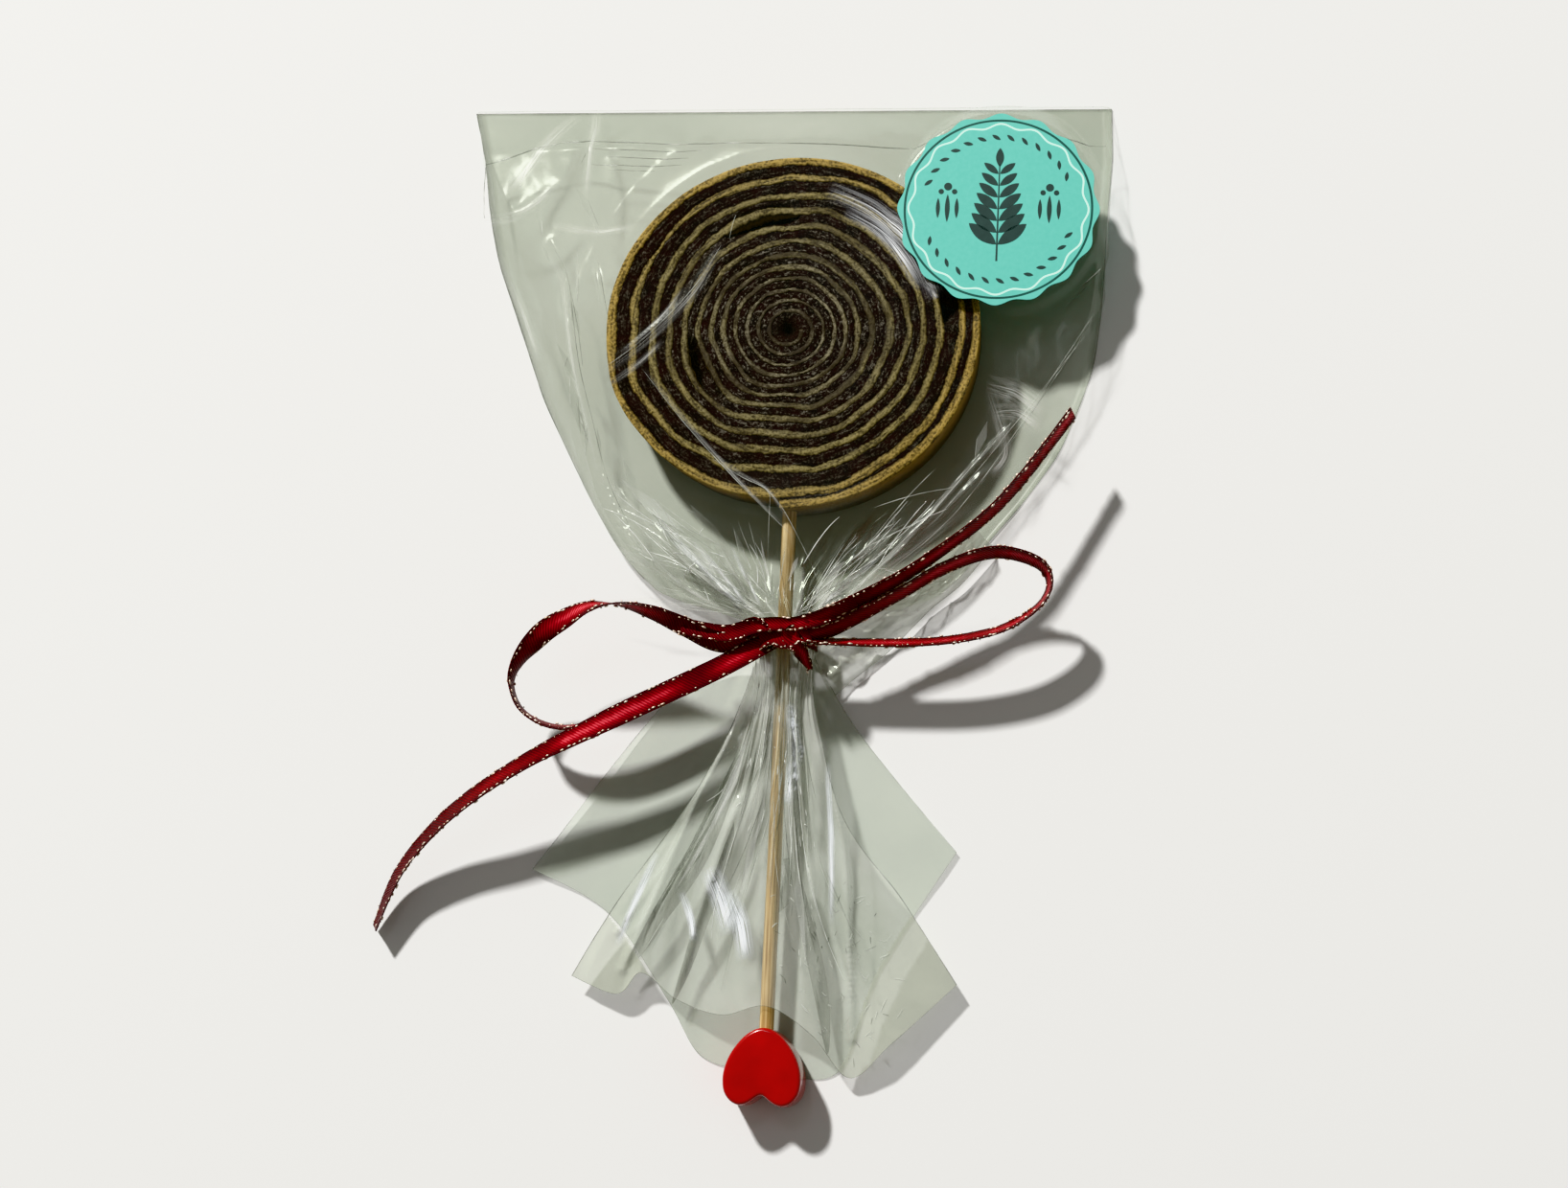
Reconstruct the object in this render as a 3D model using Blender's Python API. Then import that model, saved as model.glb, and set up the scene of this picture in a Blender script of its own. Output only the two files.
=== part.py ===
"""A fruit leather lollipop in a clear gift bag, lying on its back with the shown side up.

The lollipop is a double roll of dark and yellow fruit leather on a bamboo stick that ends in a red
wooden heart. A clear film bag shuts over the roll, is tied at its neck with a satin ribbon bow, and
spreads below the knot as a two-layer skirt. X runs to the right of the shown side, Y along the
stick to the roll, Z up from the table. Lengths below are in millimetres.
"""

import math

import bmesh
import bpy
from mathutils import Matrix, Vector

METRE = 0.001
SMOOTH_DEGREES = 35.0

# The roll of fruit leather
ROLL_CENTRE = (0.2, 38.6)
ROLL_FOOT = 0.7
ROLL_THICKNESS = 9.0
ROLL_WIDER = 0.027
INNER_PITCH = 1.7
PITCH_GAIN = 0.75
GAIN_FROM_TURN = 3.5
GAIN_OVER_TURNS = 2.5
FIRST_RADIUS = 3.36
LAST_TURN = 11.36
FIRST_TURN = -1.0
TURN_AT_BOTTOM = 0.36
LOOSE_TURNS = (8.6, 10.7)
LOOSE_BY = 0.85
END_TURNS = (10.95, 11.36)
END_DRAWN_IN = 1.0
STEPS_PER_TURN = 28
LAYER_GAP = 0.1
YELLOW_THIN = 0.55
YELLOW_THICK = 0.95
THICKER_FROM_TURN = 1.0
THICKER_OVER_TURNS = 7.0
YELLOW_STARTS_LATER = 0.1

# The stick and the heart on its end
STICK_X = 1.1
STICK_RADIUS = 1.0
STICK_SIDES = 12
STICK_TOP_Y = 24.0
STICK_TOP_Z = 5.4
STICK_END_Y = -71.5
STICK_END_Z = 3.9
STICK_GAP = 0.3
HEART_WIDTH = 11.5
HEART_LENGTH = 11.2
HEART_THICKNESS = 6.0
HEART_TIP_Y = -65.1
HEART_X = 1.1
HEART_STEPS = 15
HEART_ROUNDING = 1.1
ROUNDED_FROM_DEGREES = 60.0
HEART_FOOT = 0.9
SOCKET_PAST_TIP = 5.0

# Half of the heart's outline, as shares of its half width and of its length from the tip
HEART_PROFILE = (
    (0.0, 0.0),
    (0.33, 0.03),
    (0.61, 0.12),
    (0.85, 0.3),
    (0.98, 0.53),
    (1.0, 0.71),
    (0.82, 0.91),
    (0.49, 1.0),
    (0.2, 0.98),
    (0.0, 0.92),
)

# The bag, its neck and its skirt
WALL = 0.35
DISC_COVER_Z = 10.45
COVER_RADIUS = 32.6
COVER_SLOPE = 0.3
NECK_CENTRE = (1.2, 4.9)
NECK_HALF_WIDTH = 4.5
NECK_HALF_HEIGHT = 3.2
NECK_TOP_Y = -5.6
NECK_END_Y = -11.6
NECK_FOLD_DEGREES = 20.0
NECK_SIDE_DEGREES = -5.0
NECK_BACK_DEGREES = -25.0
BORE_NARROWS_BY = 0.55
SHOULDER_SHARES = (0.5, 0.8)
SHOULDER_POWER = 0.7
CLOSED_END_Z = 1.6
CLOSED_END_WALL = 0.5
EDGE_RISE_SHARE = 0.2
SIDE_BEND_OUT = 2 / 3
SIDE_BEND_HEIGHT = 0.45
SHARPEST_CORNER = 0.35
FRONT_STEPS = 16
BACK_STEPS = 8
SKIRT_ACROSS = 20
SKIRT_DOWN = 9
SKIRT_WALL = 0.4

# One row for each rib of the bag from its closed end to the neck:
# y, back left x, fold left x, fold right x, back right x, left fold z, middle z, right fold z
BAG_RIBS = (
    (76.6, -53.0, -52.2, 46.4, 47.3, 1.6, 1.6, 1.6),
    (68.5, -51.0, -49.6, 46.9, 47.6, 4.5, 8.1, 6.0),
    (60.0, -49.7, -45.5, 46.2, 47.1, 7.0, 8.1, 7.5),
    (52.0, -47.8, -39.8, 46.0, 46.9, 8.0, 8.1, 8.0),
    (44.0, -44.6, -36.4, 45.6, 46.6, 8.0, 8.1, 8.0),
    (36.0, -41.5, -35.0, 42.8, 45.7, 8.0, 8.1, 8.0),
    (30.0, -39.2, -33.4, 39.2, 43.9, 8.0, 8.1, 8.0),
    (22.0, -35.0, -30.8, 34.0, 40.8, 8.0, 8.1, 8.0),
    (14.0, -30.6, -28.4, 28.6, 35.3, 7.8, 8.1, 7.8),
    (8.0, -26.9, -25.2, 22.0, 30.3, 7.5, 8.1, 7.5),
    (3.0, -23.0, -20.8, 16.0, 26.7, 7.0, 8.1, 7.0),
    (-1.0, -18.0, -14.5, 10.5, 22.0, 6.3, 8.1, 6.4),
)

# The back fold of the bag that hangs beside the knot, seen from above
SIDE_FOLD = ((22.0, -0.5), (17.0, -7.5), (8.9, -15.5), (3.0, -13.0), (-0.5, -9.0), (1.0, -3.0), (13.0, 3.0))
SIDE_FOLD_FOOT = 0.1

# The skirt's layers: both edges from the neck down, and the hem from left to right, as x, y, z
BACK_LEFT_EDGE = ((-2.3, -10.2, 2.8), (-12.0, -13.0, 1.4), (-19.4, -19.8, 0.6), (-36.0, -42.9, 0.9))
BACK_RIGHT_EDGE = ((4.5, -10.2, 2.8), (10.7, -18.6, 1.0), (18.1, -27.7, 0.4), (27.6, -38.3, 0.8))
BACK_HEM = (
    (-36.0, -42.9, 0.9),
    (-24.2, -49.0, 0.2),
    (-14.4, -61.5, 0.3),
    (-8.6, -69.7, 0.2),
    (1.6, -71.3, 0.2),
    (11.5, -70.8, 0.2),
    (17.0, -56.0, 0.4),
    (27.6, -38.3, 0.8),
)
FRONT_LEFT_EDGE = ((-1.9, -10.2, 6.7), (-7.9, -25.8, 5.6), (-23.0, -48.8, 3.6), (-28.7, -58.6, 2.6))
FRONT_RIGHT_EDGE = ((4.3, -10.2, 6.7), (10.5, -32.6, 5.2), (20.3, -45.9, 3.8), (28.5, -57.7, 2.6))
FRONT_HEM = (
    (-28.7, -58.6, 2.6),
    (-21.6, -61.0, 3.0),
    (-17.9, -57.8, 4.3),
    (-12.5, -61.5, 3.0),
    (-5.5, -63.5, 4.6),
    (1.3, -62.0, 5.9),
    (8.0, -66.0, 4.4),
    (13.4, -71.7, 2.4),
    (19.5, -66.5, 3.6),
    (28.5, -57.7, 2.6),
)

# The sticker
STICKER_CENTRE = (31.3, 57.2, 10.4)
STICKER_RADIUS = 14.75
STICKER_SCALLOPS = 16
SCALLOP_DEPTH = 0.35
STEPS_PER_SCALLOP = 6
STICKER_THICKNESS = 0.3
STICKER_FALL = 0.055

# The ribbon: each route as x, y, z and the roll of its face in degrees, 0 lying flat, 90 on edge
RIBBON_WIDTH = 3.3
RIBBON_THICKNESS = 0.45
ROUTE_STEP = 2.6
ROUTE_SAMPLES = 200
BAND_GAP = 0.3
BAND_THICKNESS = 0.7
BAND_Y = (-6.2, -9.5)
BAND_SIDES = 28
KNOT_CENTRE = (1.4, -7.9, 10.0)
KNOT_HALF = (3.3, 2.1, 1.35)
TUFT_POINTS = ((1.5, -8.2, 9.7), (5.6, -12.4, 9.2))
TUFT_RADII = (1.5, 0.35)
TUFT_FLATNESS = 0.6
TUFT_SIDES = 6
LEFT_TAIL = (
    (1.0, -8.2, 10.4, 12),
    (-7.1, -13.2, 11.5, 6),
    (-18.8, -19.4, 12.8, 2),
    (-26.8, -23.5, 12.8, 20),
    (-35.0, -27.7, 11.8, 36),
    (-43.5, -32.9, 9.8, 40),
    (-50.3, -38.2, 7.0, 44),
    (-56.0, -44.8, 4.2, 50),
    (-59.4, -52.7, 2.3, 60),
)
LEFT_LOOP = (
    (0.5, -7.6, 10.2, -20),
    (-6.9, -9.4, 11.2, -28),
    (-12.4, -7.5, 12.8, -38),
    (-17.0, -5.7, 13.8, -58),
    (-22.0, -4.6, 14.0, -88),
    (-26.8, -4.9, 13.6, -130),
    (-30.6, -6.6, 12.8, -165),
    (-34.2, -8.8, 11.8, -200),
    (-37.8, -12.6, 10.0, -250),
    (-39.1, -16.0, 8.8, -270),
    (-37.4, -19.8, 8.3, -265),
    (-33.2, -22.0, 8.3, -255),
    (-28.4, -22.0, 8.4, -250),
    (-23.0, -20.2, 8.6, -245),
    (-14.6, -15.9, 8.8, -245),
    (-6.3, -11.9, 9.0, -245),
    (0.3, -8.8, 10.0, -225),
)
RIGHT_TAIL = (
    (1.6, -7.4, 10.2, 50),
    (7.2, -5.6, 10.9, 66),
    (17.7, -0.2, 12.2, 76),
    (24.6, 4.4, 12.8, 78),
    (31.4, 10.0, 12.6, 78),
    (36.7, 16.4, 11.7, 78),
    (43.3, 26.0, 10.6, 76),
)
RIGHT_LOOP = (
    (1.8, -8.0, 9.9, 66),
    (8.2, -7.1, 9.9, 78),
    (17.8, -2.0, 10.3, 84),
    (25.6, 2.6, 10.7, 80),
    (32.7, 4.9, 10.8, 72),
    (38.8, 3.6, 10.3, 62),
    (40.7, 0.6, 9.8, 60),
    (38.8, -3.1, 9.4, 60),
    (33.2, -6.5, 9.3, 62),
    (24.1, -8.4, 9.4, 66),
    (13.0, -8.8, 9.5, 70),
    (2.2, -8.7, 9.6, 70),
)


def clear_scene():
    for item in list(bpy.data.objects):
        bpy.data.objects.remove(item, do_unlink=True)


def make_material(name, colour, roughness, metallic=0.0, alpha=1.0):
    material = bpy.data.materials.new(name)
    material.use_nodes = True
    shader = material.node_tree.nodes["Principled BSDF"]
    shader.inputs["Base Color"].default_value = (*colour, 1.0)
    shader.inputs["Roughness"].default_value = roughness
    shader.inputs["Metallic"].default_value = metallic
    shader.inputs["Alpha"].default_value = alpha
    material.diffuse_color = (*colour, alpha)
    return material


def add_solid(name, points, faces, material=None):
    """One object from points in millimetres and faces that point out."""
    mesh = bpy.data.meshes.new(name)
    mesh.from_pydata([Vector(point) * METRE for point in points], [], faces)
    shape = bmesh.new()
    shape.from_mesh(mesh)
    bmesh.ops.recalc_face_normals(shape, faces=shape.faces)
    shape.to_mesh(mesh)
    shape.free()
    solid = bpy.data.objects.new(name, mesh)
    bpy.context.scene.collection.objects.link(solid)
    if material:
        mesh.materials.append(material)
    mesh.shade_smooth()
    mesh.set_sharp_from_angle(angle=math.radians(SMOOTH_DEGREES))
    return solid


def apply_modifiers(solid):
    """Keeps the evaluated mesh as the object's own."""
    evaluated = solid.evaluated_get(bpy.context.evaluated_depsgraph_get())
    finished = bpy.data.meshes.new_from_object(evaluated)
    solid.modifiers.clear()
    solid.data = finished
    return solid


def join_solids(base, others):
    """Unites base with the others, which are then removed."""
    group = bpy.data.collections.new("joined_pieces")
    bpy.context.scene.collection.children.link(group)
    for other in others:
        bpy.context.scene.collection.objects.unlink(other)
        group.objects.link(other)
    union = base.modifiers.new("union", "BOOLEAN")
    union.operation = "UNION"
    union.operand_type = "COLLECTION"
    union.collection = group
    union.solver = "EXACT"
    bpy.context.view_layer.update()
    apply_modifiers(base)
    for other in others:
        bpy.data.objects.remove(other, do_unlink=True)
    bpy.data.collections.remove(group)
    return base


def cut(solid, cutter):
    """Cuts the cutter's shape out of solid, and leaves the cutter in place."""
    difference = solid.modifiers.new("cut", "BOOLEAN")
    difference.operation = "DIFFERENCE"
    difference.object = cutter
    difference.solver = "EXACT"
    bpy.context.view_layer.update()
    return apply_modifiers(solid)


def smooth_step(value):
    value = min(max(value, 0.0), 1.0)
    return value * value * (3 - 2 * value)


def blend(first, second, share):
    return [a + (b - a) * share for a, b in zip(first, second)]


def spline(points, place):
    """The Catmull-Rom curve through points, of any width, at place from 0 to 1."""
    last = len(points) - 1
    at = min(max(place, 0.0), 1.0) * last
    i = min(int(at), last - 1)
    t = at - i
    before = points[max(i - 1, 0)]
    after = points[min(i + 2, last)]
    result = []
    for a, b, c, d in zip(before, points[i], points[i + 1], after):
        bend = (2 * a - 5 * b + 4 * c - d) * t * t + (3 * b - a - 3 * c + d) * t * t * t
        result.append(0.5 * (2 * b + (c - a) * t + bend))
    return result


def roll_outline(angle):
    """How far the roll's outline lies from a true circle in this direction."""
    return 1 + ROLL_WIDER * math.cos(2 * angle)


def layer_radius(turn):
    """Radius of the yellow layer's middle after this many turns from the eye."""
    along = max((turn - GAIN_FROM_TURN) / GAIN_OVER_TURNS, 0.0)
    gained = along - 0.5 if along > 1 else along**3 - along**4 / 2
    loose = LOOSE_BY * smooth_step((turn - LOOSE_TURNS[0]) / (LOOSE_TURNS[1] - LOOSE_TURNS[0]))
    drawn_in = END_DRAWN_IN * smooth_step((turn - END_TURNS[0]) / (END_TURNS[1] - END_TURNS[0]))
    return FIRST_RADIUS + INNER_PITCH * turn + PITCH_GAIN * GAIN_OVER_TURNS * gained + loose - drawn_in


def yellow_half(turn):
    share = smooth_step((turn - THICKER_FROM_TURN) / THICKER_OVER_TURNS)
    return (YELLOW_THIN + (YELLOW_THICK - YELLOW_THIN) * share) / 2


def roll_point(turn, radius):
    """A point of the roll, whose layers run clockwise outwards and end at the bottom."""
    angle = -math.pi / 2 - 2 * math.pi * (turn - TURN_AT_BOTTOM)
    reach = radius * roll_outline(angle)
    return ROLL_CENTRE[0] + reach * math.cos(angle), ROLL_CENTRE[1] + reach * math.sin(angle)


def roll_turns(first, last):
    """Turns from first to last, on the steps that all layers share."""
    start = round(first * STEPS_PER_TURN)
    end = round(last * STEPS_PER_TURN)
    return [step / STEPS_PER_TURN for step in range(start, end + 1)]


def strip_faces(count, first, second):
    """The faces of a strip whose four long edges are rows of count points each."""
    inner_low, outer_low, inner_high, outer_high = first, first + count, second, second + count
    faces = []
    for i in range(count - 1):
        faces.append((inner_low + i, outer_low + i, outer_low + i + 1, inner_low + i + 1))
        faces.append((inner_high + i, inner_high + i + 1, outer_high + i + 1, outer_high + i))
        faces.append((inner_low + i, inner_low + i + 1, inner_high + i + 1, inner_high + i))
        faces.append((outer_low + i, outer_high + i, outer_high + i + 1, outer_low + i + 1))
    return faces


def make_yellow_layer(material):
    turns = roll_turns(FIRST_TURN + YELLOW_STARTS_LATER, LAST_TURN)
    inner = [roll_point(t, layer_radius(t) - yellow_half(t)) for t in turns]
    outer = [roll_point(t, layer_radius(t) + yellow_half(t)) for t in turns]
    count = len(turns)
    points = [(x, y, ROLL_FOOT) for x, y in inner + outer]
    points += [(x, y, ROLL_FOOT + ROLL_THICKNESS) for x, y in inner + outer]
    faces = strip_faces(count, 0, 2 * count)
    for i in (0, count - 1):
        faces.append((i, i + 2 * count, i + 3 * count, i + count))
    return add_solid("leather_yellow", points, faces, material)


def make_dark_layer(material):
    """The dark layer lies inside each turn of the yellow one, and its first turn fills the eye."""
    turns = roll_turns(FIRST_TURN, LAST_TURN)
    outer = [roll_point(t, layer_radius(t) - yellow_half(t) - LAYER_GAP) for t in turns]
    inner_radii = [layer_radius(t - 1) + yellow_half(t - 1) + LAYER_GAP for t in turns]
    inner = [roll_point(t, radius) for t, radius in zip(turns, inner_radii)]
    eye = STEPS_PER_TURN
    arm = len(turns) - eye
    points = []
    for height in (ROLL_FOOT, ROLL_FOOT + ROLL_THICKNESS):
        points += [(x, y, height) for x, y in inner[eye:] + outer[eye:] + outer[:eye]]
    high = 2 * arm + eye
    faces = strip_faces(arm, 0, high)
    faces.append((arm - 1, arm - 1 + high, 2 * arm - 1 + high, 2 * arm - 1))
    loop = [0] + list(range(2 * arm, 2 * arm + eye)) + [arm]
    faces.append(tuple(loop))
    faces.append(tuple(high + i for i in reversed(loop)))
    for a, b in zip(loop, loop[1:]):
        faces.append((a, b, b + high, a + high))
    return add_solid("leather_dark", points, faces, material)


def stick_z(y):
    share = (y - STICK_END_Y) / (STICK_TOP_Y - STICK_END_Y)
    return STICK_END_Z + (STICK_TOP_Z - STICK_END_Z) * share


def make_rod(name, start_y, end_y, radius, material=None):
    """A round rod along the stick's line."""
    points = []
    for y in (start_y, end_y):
        for i in range(STICK_SIDES):
            angle = 2 * math.pi * i / STICK_SIDES
            points.append((STICK_X + radius * math.cos(angle), y, stick_z(y) + radius * math.sin(angle)))
    n = STICK_SIDES
    faces = [(i, (i + 1) % n, n + (i + 1) % n, n + i) for i in range(n)]
    faces += [tuple(range(n)), tuple(range(2 * n - 1, n - 1, -1))]
    return add_solid(name, points, faces, material)


def heart_outline():
    """The heart seen from above with its tip at the origin and its lobes towards -Y."""
    half = []
    for i in range(HEART_STEPS + 1):
        across, along = spline(HEART_PROFILE, i / HEART_STEPS)
        half.append((across * HEART_WIDTH / 2, -along * HEART_LENGTH))
    return half + [(-x, y) for x, y in reversed(half[1:-1])]


def make_heart(material):
    outline = [(x + HEART_X, y + HEART_TIP_Y) for x, y in heart_outline()]
    n = len(outline)
    points = [(x, y, HEART_FOOT) for x, y in outline]
    points += [(x, y, HEART_FOOT + HEART_THICKNESS) for x, y in outline]
    faces = [(i, (i + 1) % n, n + (i + 1) % n, n + i) for i in range(n)]
    faces += [tuple(range(n)), tuple(range(2 * n - 1, n - 1, -1))]
    heart = add_solid("heart_bead", points, faces, material)
    rounding = heart.modifiers.new("rounding", "BEVEL")
    rounding.width = HEART_ROUNDING * METRE
    rounding.segments = 3
    rounding.limit_method = "ANGLE"
    rounding.angle_limit = math.radians(ROUNDED_FROM_DEGREES)
    bpy.context.view_layer.update()
    apply_modifiers(heart)
    socket_mouth_y = HEART_TIP_Y + SOCKET_PAST_TIP
    socket = make_rod("heart_socket", STICK_END_Y - STICK_GAP, socket_mouth_y, STICK_RADIUS + STICK_GAP)
    cut(heart, socket)
    bpy.data.objects.remove(socket, do_unlink=True)
    heart.data.shade_smooth()
    heart.data.set_sharp_from_angle(angle=math.radians(SMOOTH_DEGREES))
    return heart


def cover_height(x, y):
    """Height of the film where the roll holds it up."""
    away = math.hypot(x - ROLL_CENTRE[0], y - ROLL_CENTRE[1]) - COVER_RADIUS
    return DISC_COVER_Z - COVER_SLOPE * max(away, 0.0)


def rib_points(rib):
    """The bag's outline at one rib, as x and z: over the front, down the right side, along the back."""
    y, back_left, fold_left, fold_right, back_right, left_z, middle_z, right_z = rib
    points = []
    for i in range(FRONT_STEPS + 1):
        share = i / FRONT_STEPS
        x = fold_left + (fold_right - fold_left) * share
        edge_z = left_z + (right_z - left_z) * share
        inwards = smooth_step(min(share, 1 - share) / EDGE_RISE_SHARE)
        z = edge_z + (middle_z - edge_z) * inwards
        if middle_z > CLOSED_END_Z:
            z = max(z, min(cover_height(x, y), DISC_COVER_Z))
        points.append((x, z))
    points.append((fold_right + (back_right - fold_right) * SIDE_BEND_OUT, right_z * SIDE_BEND_HEIGHT))
    for i in range(BACK_STEPS + 1):
        share = i / BACK_STEPS
        points.append((back_right + (back_left - back_right) * share, 0.0))
    points.append((fold_left + (back_left - fold_left) * SIDE_BEND_OUT, left_z * SIDE_BEND_HEIGHT))
    return points


def neck_points(half_width, half_height, centre):
    """A rib of the round neck, with as many points as the bag's other ribs."""
    front_arc = 180.0 - 2 * NECK_FOLD_DEGREES
    back_arc = 180.0 + 2 * NECK_BACK_DEGREES
    angles = [180.0 - NECK_FOLD_DEGREES - front_arc * i / FRONT_STEPS for i in range(FRONT_STEPS + 1)]
    angles.append(NECK_SIDE_DEGREES)
    angles += [NECK_BACK_DEGREES - back_arc * i / BACK_STEPS for i in range(BACK_STEPS + 1)]
    angles.append(-180.0 - NECK_SIDE_DEGREES)
    points = []
    for degrees in angles:
        angle = math.radians(degrees)
        points.append((centre[0] + half_width * math.cos(angle), centre[1] + half_height * math.sin(angle)))
    return points


def moved_in(points, distance):
    """The ring's points moved inwards by distance, square to its sides."""
    result = []
    count = len(points)
    for i in range(count):
        before = Vector(points[i - 1])
        here = Vector(points[i])
        after = Vector(points[(i + 1) % count])
        into = (here - before).normalized()
        away = (after - here).normalized()
        first = Vector((into.y, -into.x))
        second = Vector((away.y, -away.x))
        middle = (first + second).normalized()
        result.append(tuple(here + middle * (distance / max(middle.dot(first), SHARPEST_CORNER))))
    return result


def make_bag_body():
    """The shut part of the bag with its neck: a thin wall, open where the stick leaves it."""
    ribs = [(rib[0], rib_points(rib)) for rib in BAG_RIBS]
    neck = neck_points(NECK_HALF_WIDTH, NECK_HALF_HEIGHT, NECK_CENTRE)
    last_y, last_points = ribs[-1]
    for share in SHOULDER_SHARES:
        y = last_y + (NECK_TOP_Y - last_y) * share
        shape = [blend(a, b, share**SHOULDER_POWER) for a, b in zip(last_points, neck)]
        ribs.append((y, shape))
    ribs += [(NECK_TOP_Y, neck), (NECK_END_Y, neck)]
    bore_radius = STICK_RADIUS + STICK_GAP
    rings = [[(x, y, z) for x, z in shape] for y, shape in ribs]
    inner = []
    for i, (y, shape) in enumerate(ribs):
        if i >= len(ribs) - 3:
            ring = neck_points(bore_radius, bore_radius, (STICK_X, stick_z(y)))
            if i == len(ribs) - 3:
                ring = [blend(a, b, BORE_NARROWS_BY) for a, b in zip(moved_in(shape, WALL), ring)]
        else:
            ring = moved_in(shape, WALL)
        end_wall = CLOSED_END_WALL if i == 0 else 0.0
        inner.append([(x, y - end_wall, z) for x, z in ring])
    return ring_shell(rings, inner)


def ring_shell(rings, inner):
    """A shell between two rows of rings, shut at the first ring and open at the last."""
    count = len(rings[0])
    points = [point for ring in rings + inner for point in ring]
    depth = len(rings)
    faces = []
    for side in (0, depth):
        for r in range(depth - 1):
            for i in range(count):
                a = (side + r) * count + i
                b = (side + r) * count + (i + 1) % count
                for face in ((a, b, b + count), (a, b + count, a + count)):
                    faces.append(face if side == 0 else tuple(reversed(face)))
    faces.append(tuple(reversed(range(count))))
    faces.append(tuple(depth * count + i for i in range(count)))
    for i in range(count):
        a = (depth - 1) * count + i
        b = (depth - 1) * count + (i + 1) % count
        faces.append((a, b, b + depth * count, a + depth * count))
    return add_solid("bag", points, faces)


def sheet_solid(name, rows, thickness):
    """A closed sheet whose lower side is the grid of rows and whose upper side lies thickness above."""
    wide = len(rows[0])
    deep = len(rows)
    low = [point for row in rows for point in row]
    points = low + [(x, y, z + thickness) for x, y, z in low]
    high = wide * deep
    faces = []
    for r in range(deep - 1):
        for i in range(wide - 1):
            a = r * wide + i
            for face in ((a, a + 1, a + 1 + wide), (a, a + 1 + wide, a + wide)):
                faces.append(face)
                faces.append(tuple(high + k for k in reversed(face)))
    rim = list(range(wide))
    rim += [r * wide + wide - 1 for r in range(1, deep)]
    rim += [(deep - 1) * wide + i for i in range(wide - 2, -1, -1)]
    rim += [r * wide for r in range(deep - 2, 0, -1)]
    for a, b in zip(rim, rim[1:] + rim[:1]):
        faces.append((a, b, b + high, a + high))
    return add_solid(name, points, faces)


def skirt_rows(left_edge, right_edge, hem):
    """A sheet between two edges and a hem, filled in as a Coons patch."""
    top_left = left_edge[0]
    top_right = right_edge[0]
    rows = []
    for r in range(SKIRT_DOWN + 1):
        v = r / SKIRT_DOWN
        left = spline(left_edge, v)
        right = spline(right_edge, v)
        row = []
        for i in range(SKIRT_ACROSS + 1):
            u = i / SKIRT_ACROSS
            ruled = blend(blend(top_left, top_right, u), spline(hem, u), v)
            left_off = [a - b for a, b in zip(left, blend(top_left, hem[0], v))]
            right_off = [a - b for a, b in zip(right, blend(top_right, hem[-1], v))]
            shift = blend(left_off, right_off, u)
            row.append(tuple(a + b for a, b in zip(ruled, shift)))
        rows.append(row)
    return rows


def make_side_fold():
    n = len(SIDE_FOLD)
    points = [(x, y, SIDE_FOLD_FOOT) for x, y in SIDE_FOLD]
    points += [(x, y, SIDE_FOLD_FOOT + WALL) for x, y in SIDE_FOLD]
    faces = [(i, (i + 1) % n, n + (i + 1) % n, n + i) for i in range(n)]
    faces += [tuple(range(n)), tuple(range(2 * n - 1, n - 1, -1))]
    return add_solid("side_fold", points, faces)


def make_bag(material):
    body = make_bag_body()
    front_rows = skirt_rows(FRONT_LEFT_EDGE, FRONT_RIGHT_EDGE, FRONT_HEM)
    back_rows = skirt_rows(BACK_LEFT_EDGE, BACK_RIGHT_EDGE, BACK_HEM)
    front = sheet_solid("skirt_front", front_rows, SKIRT_WALL)
    back = sheet_solid("skirt_back", back_rows, SKIRT_WALL)
    join_solids(body, [front, back, make_side_fold()])
    body.data.materials.clear()
    body.data.materials.append(material)
    return body


def make_sticker(material):
    """A round paper label with a scalloped edge, that leans a little down towards the bag's corner."""
    steps = STICKER_SCALLOPS * STEPS_PER_SCALLOP
    away = Vector((STICKER_CENTRE[0] - ROLL_CENTRE[0], STICKER_CENTRE[1] - ROLL_CENTRE[1])).normalized()
    ring = []
    for i in range(steps):
        angle = 2 * math.pi * i / steps
        radius = STICKER_RADIUS + SCALLOP_DEPTH * math.cos(STICKER_SCALLOPS * angle)
        x = radius * math.cos(angle)
        y = radius * math.sin(angle)
        fall = STICKER_FALL * (x * away.x + y * away.y)
        ring.append((STICKER_CENTRE[0] + x, STICKER_CENTRE[1] + y, STICKER_CENTRE[2] - fall))
    points = ring + [(x, y, z + STICKER_THICKNESS) for x, y, z in ring]
    points += [STICKER_CENTRE, (*STICKER_CENTRE[:2], STICKER_CENTRE[2] + STICKER_THICKNESS)]
    faces = []
    for i in range(steps):
        j = (i + 1) % steps
        faces.append((i, j, steps + j, steps + i))
        faces.append((j, i, 2 * steps))
        faces.append((steps + i, steps + j, 2 * steps + 1))
    return add_solid("sticker", points, faces, material)


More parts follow.
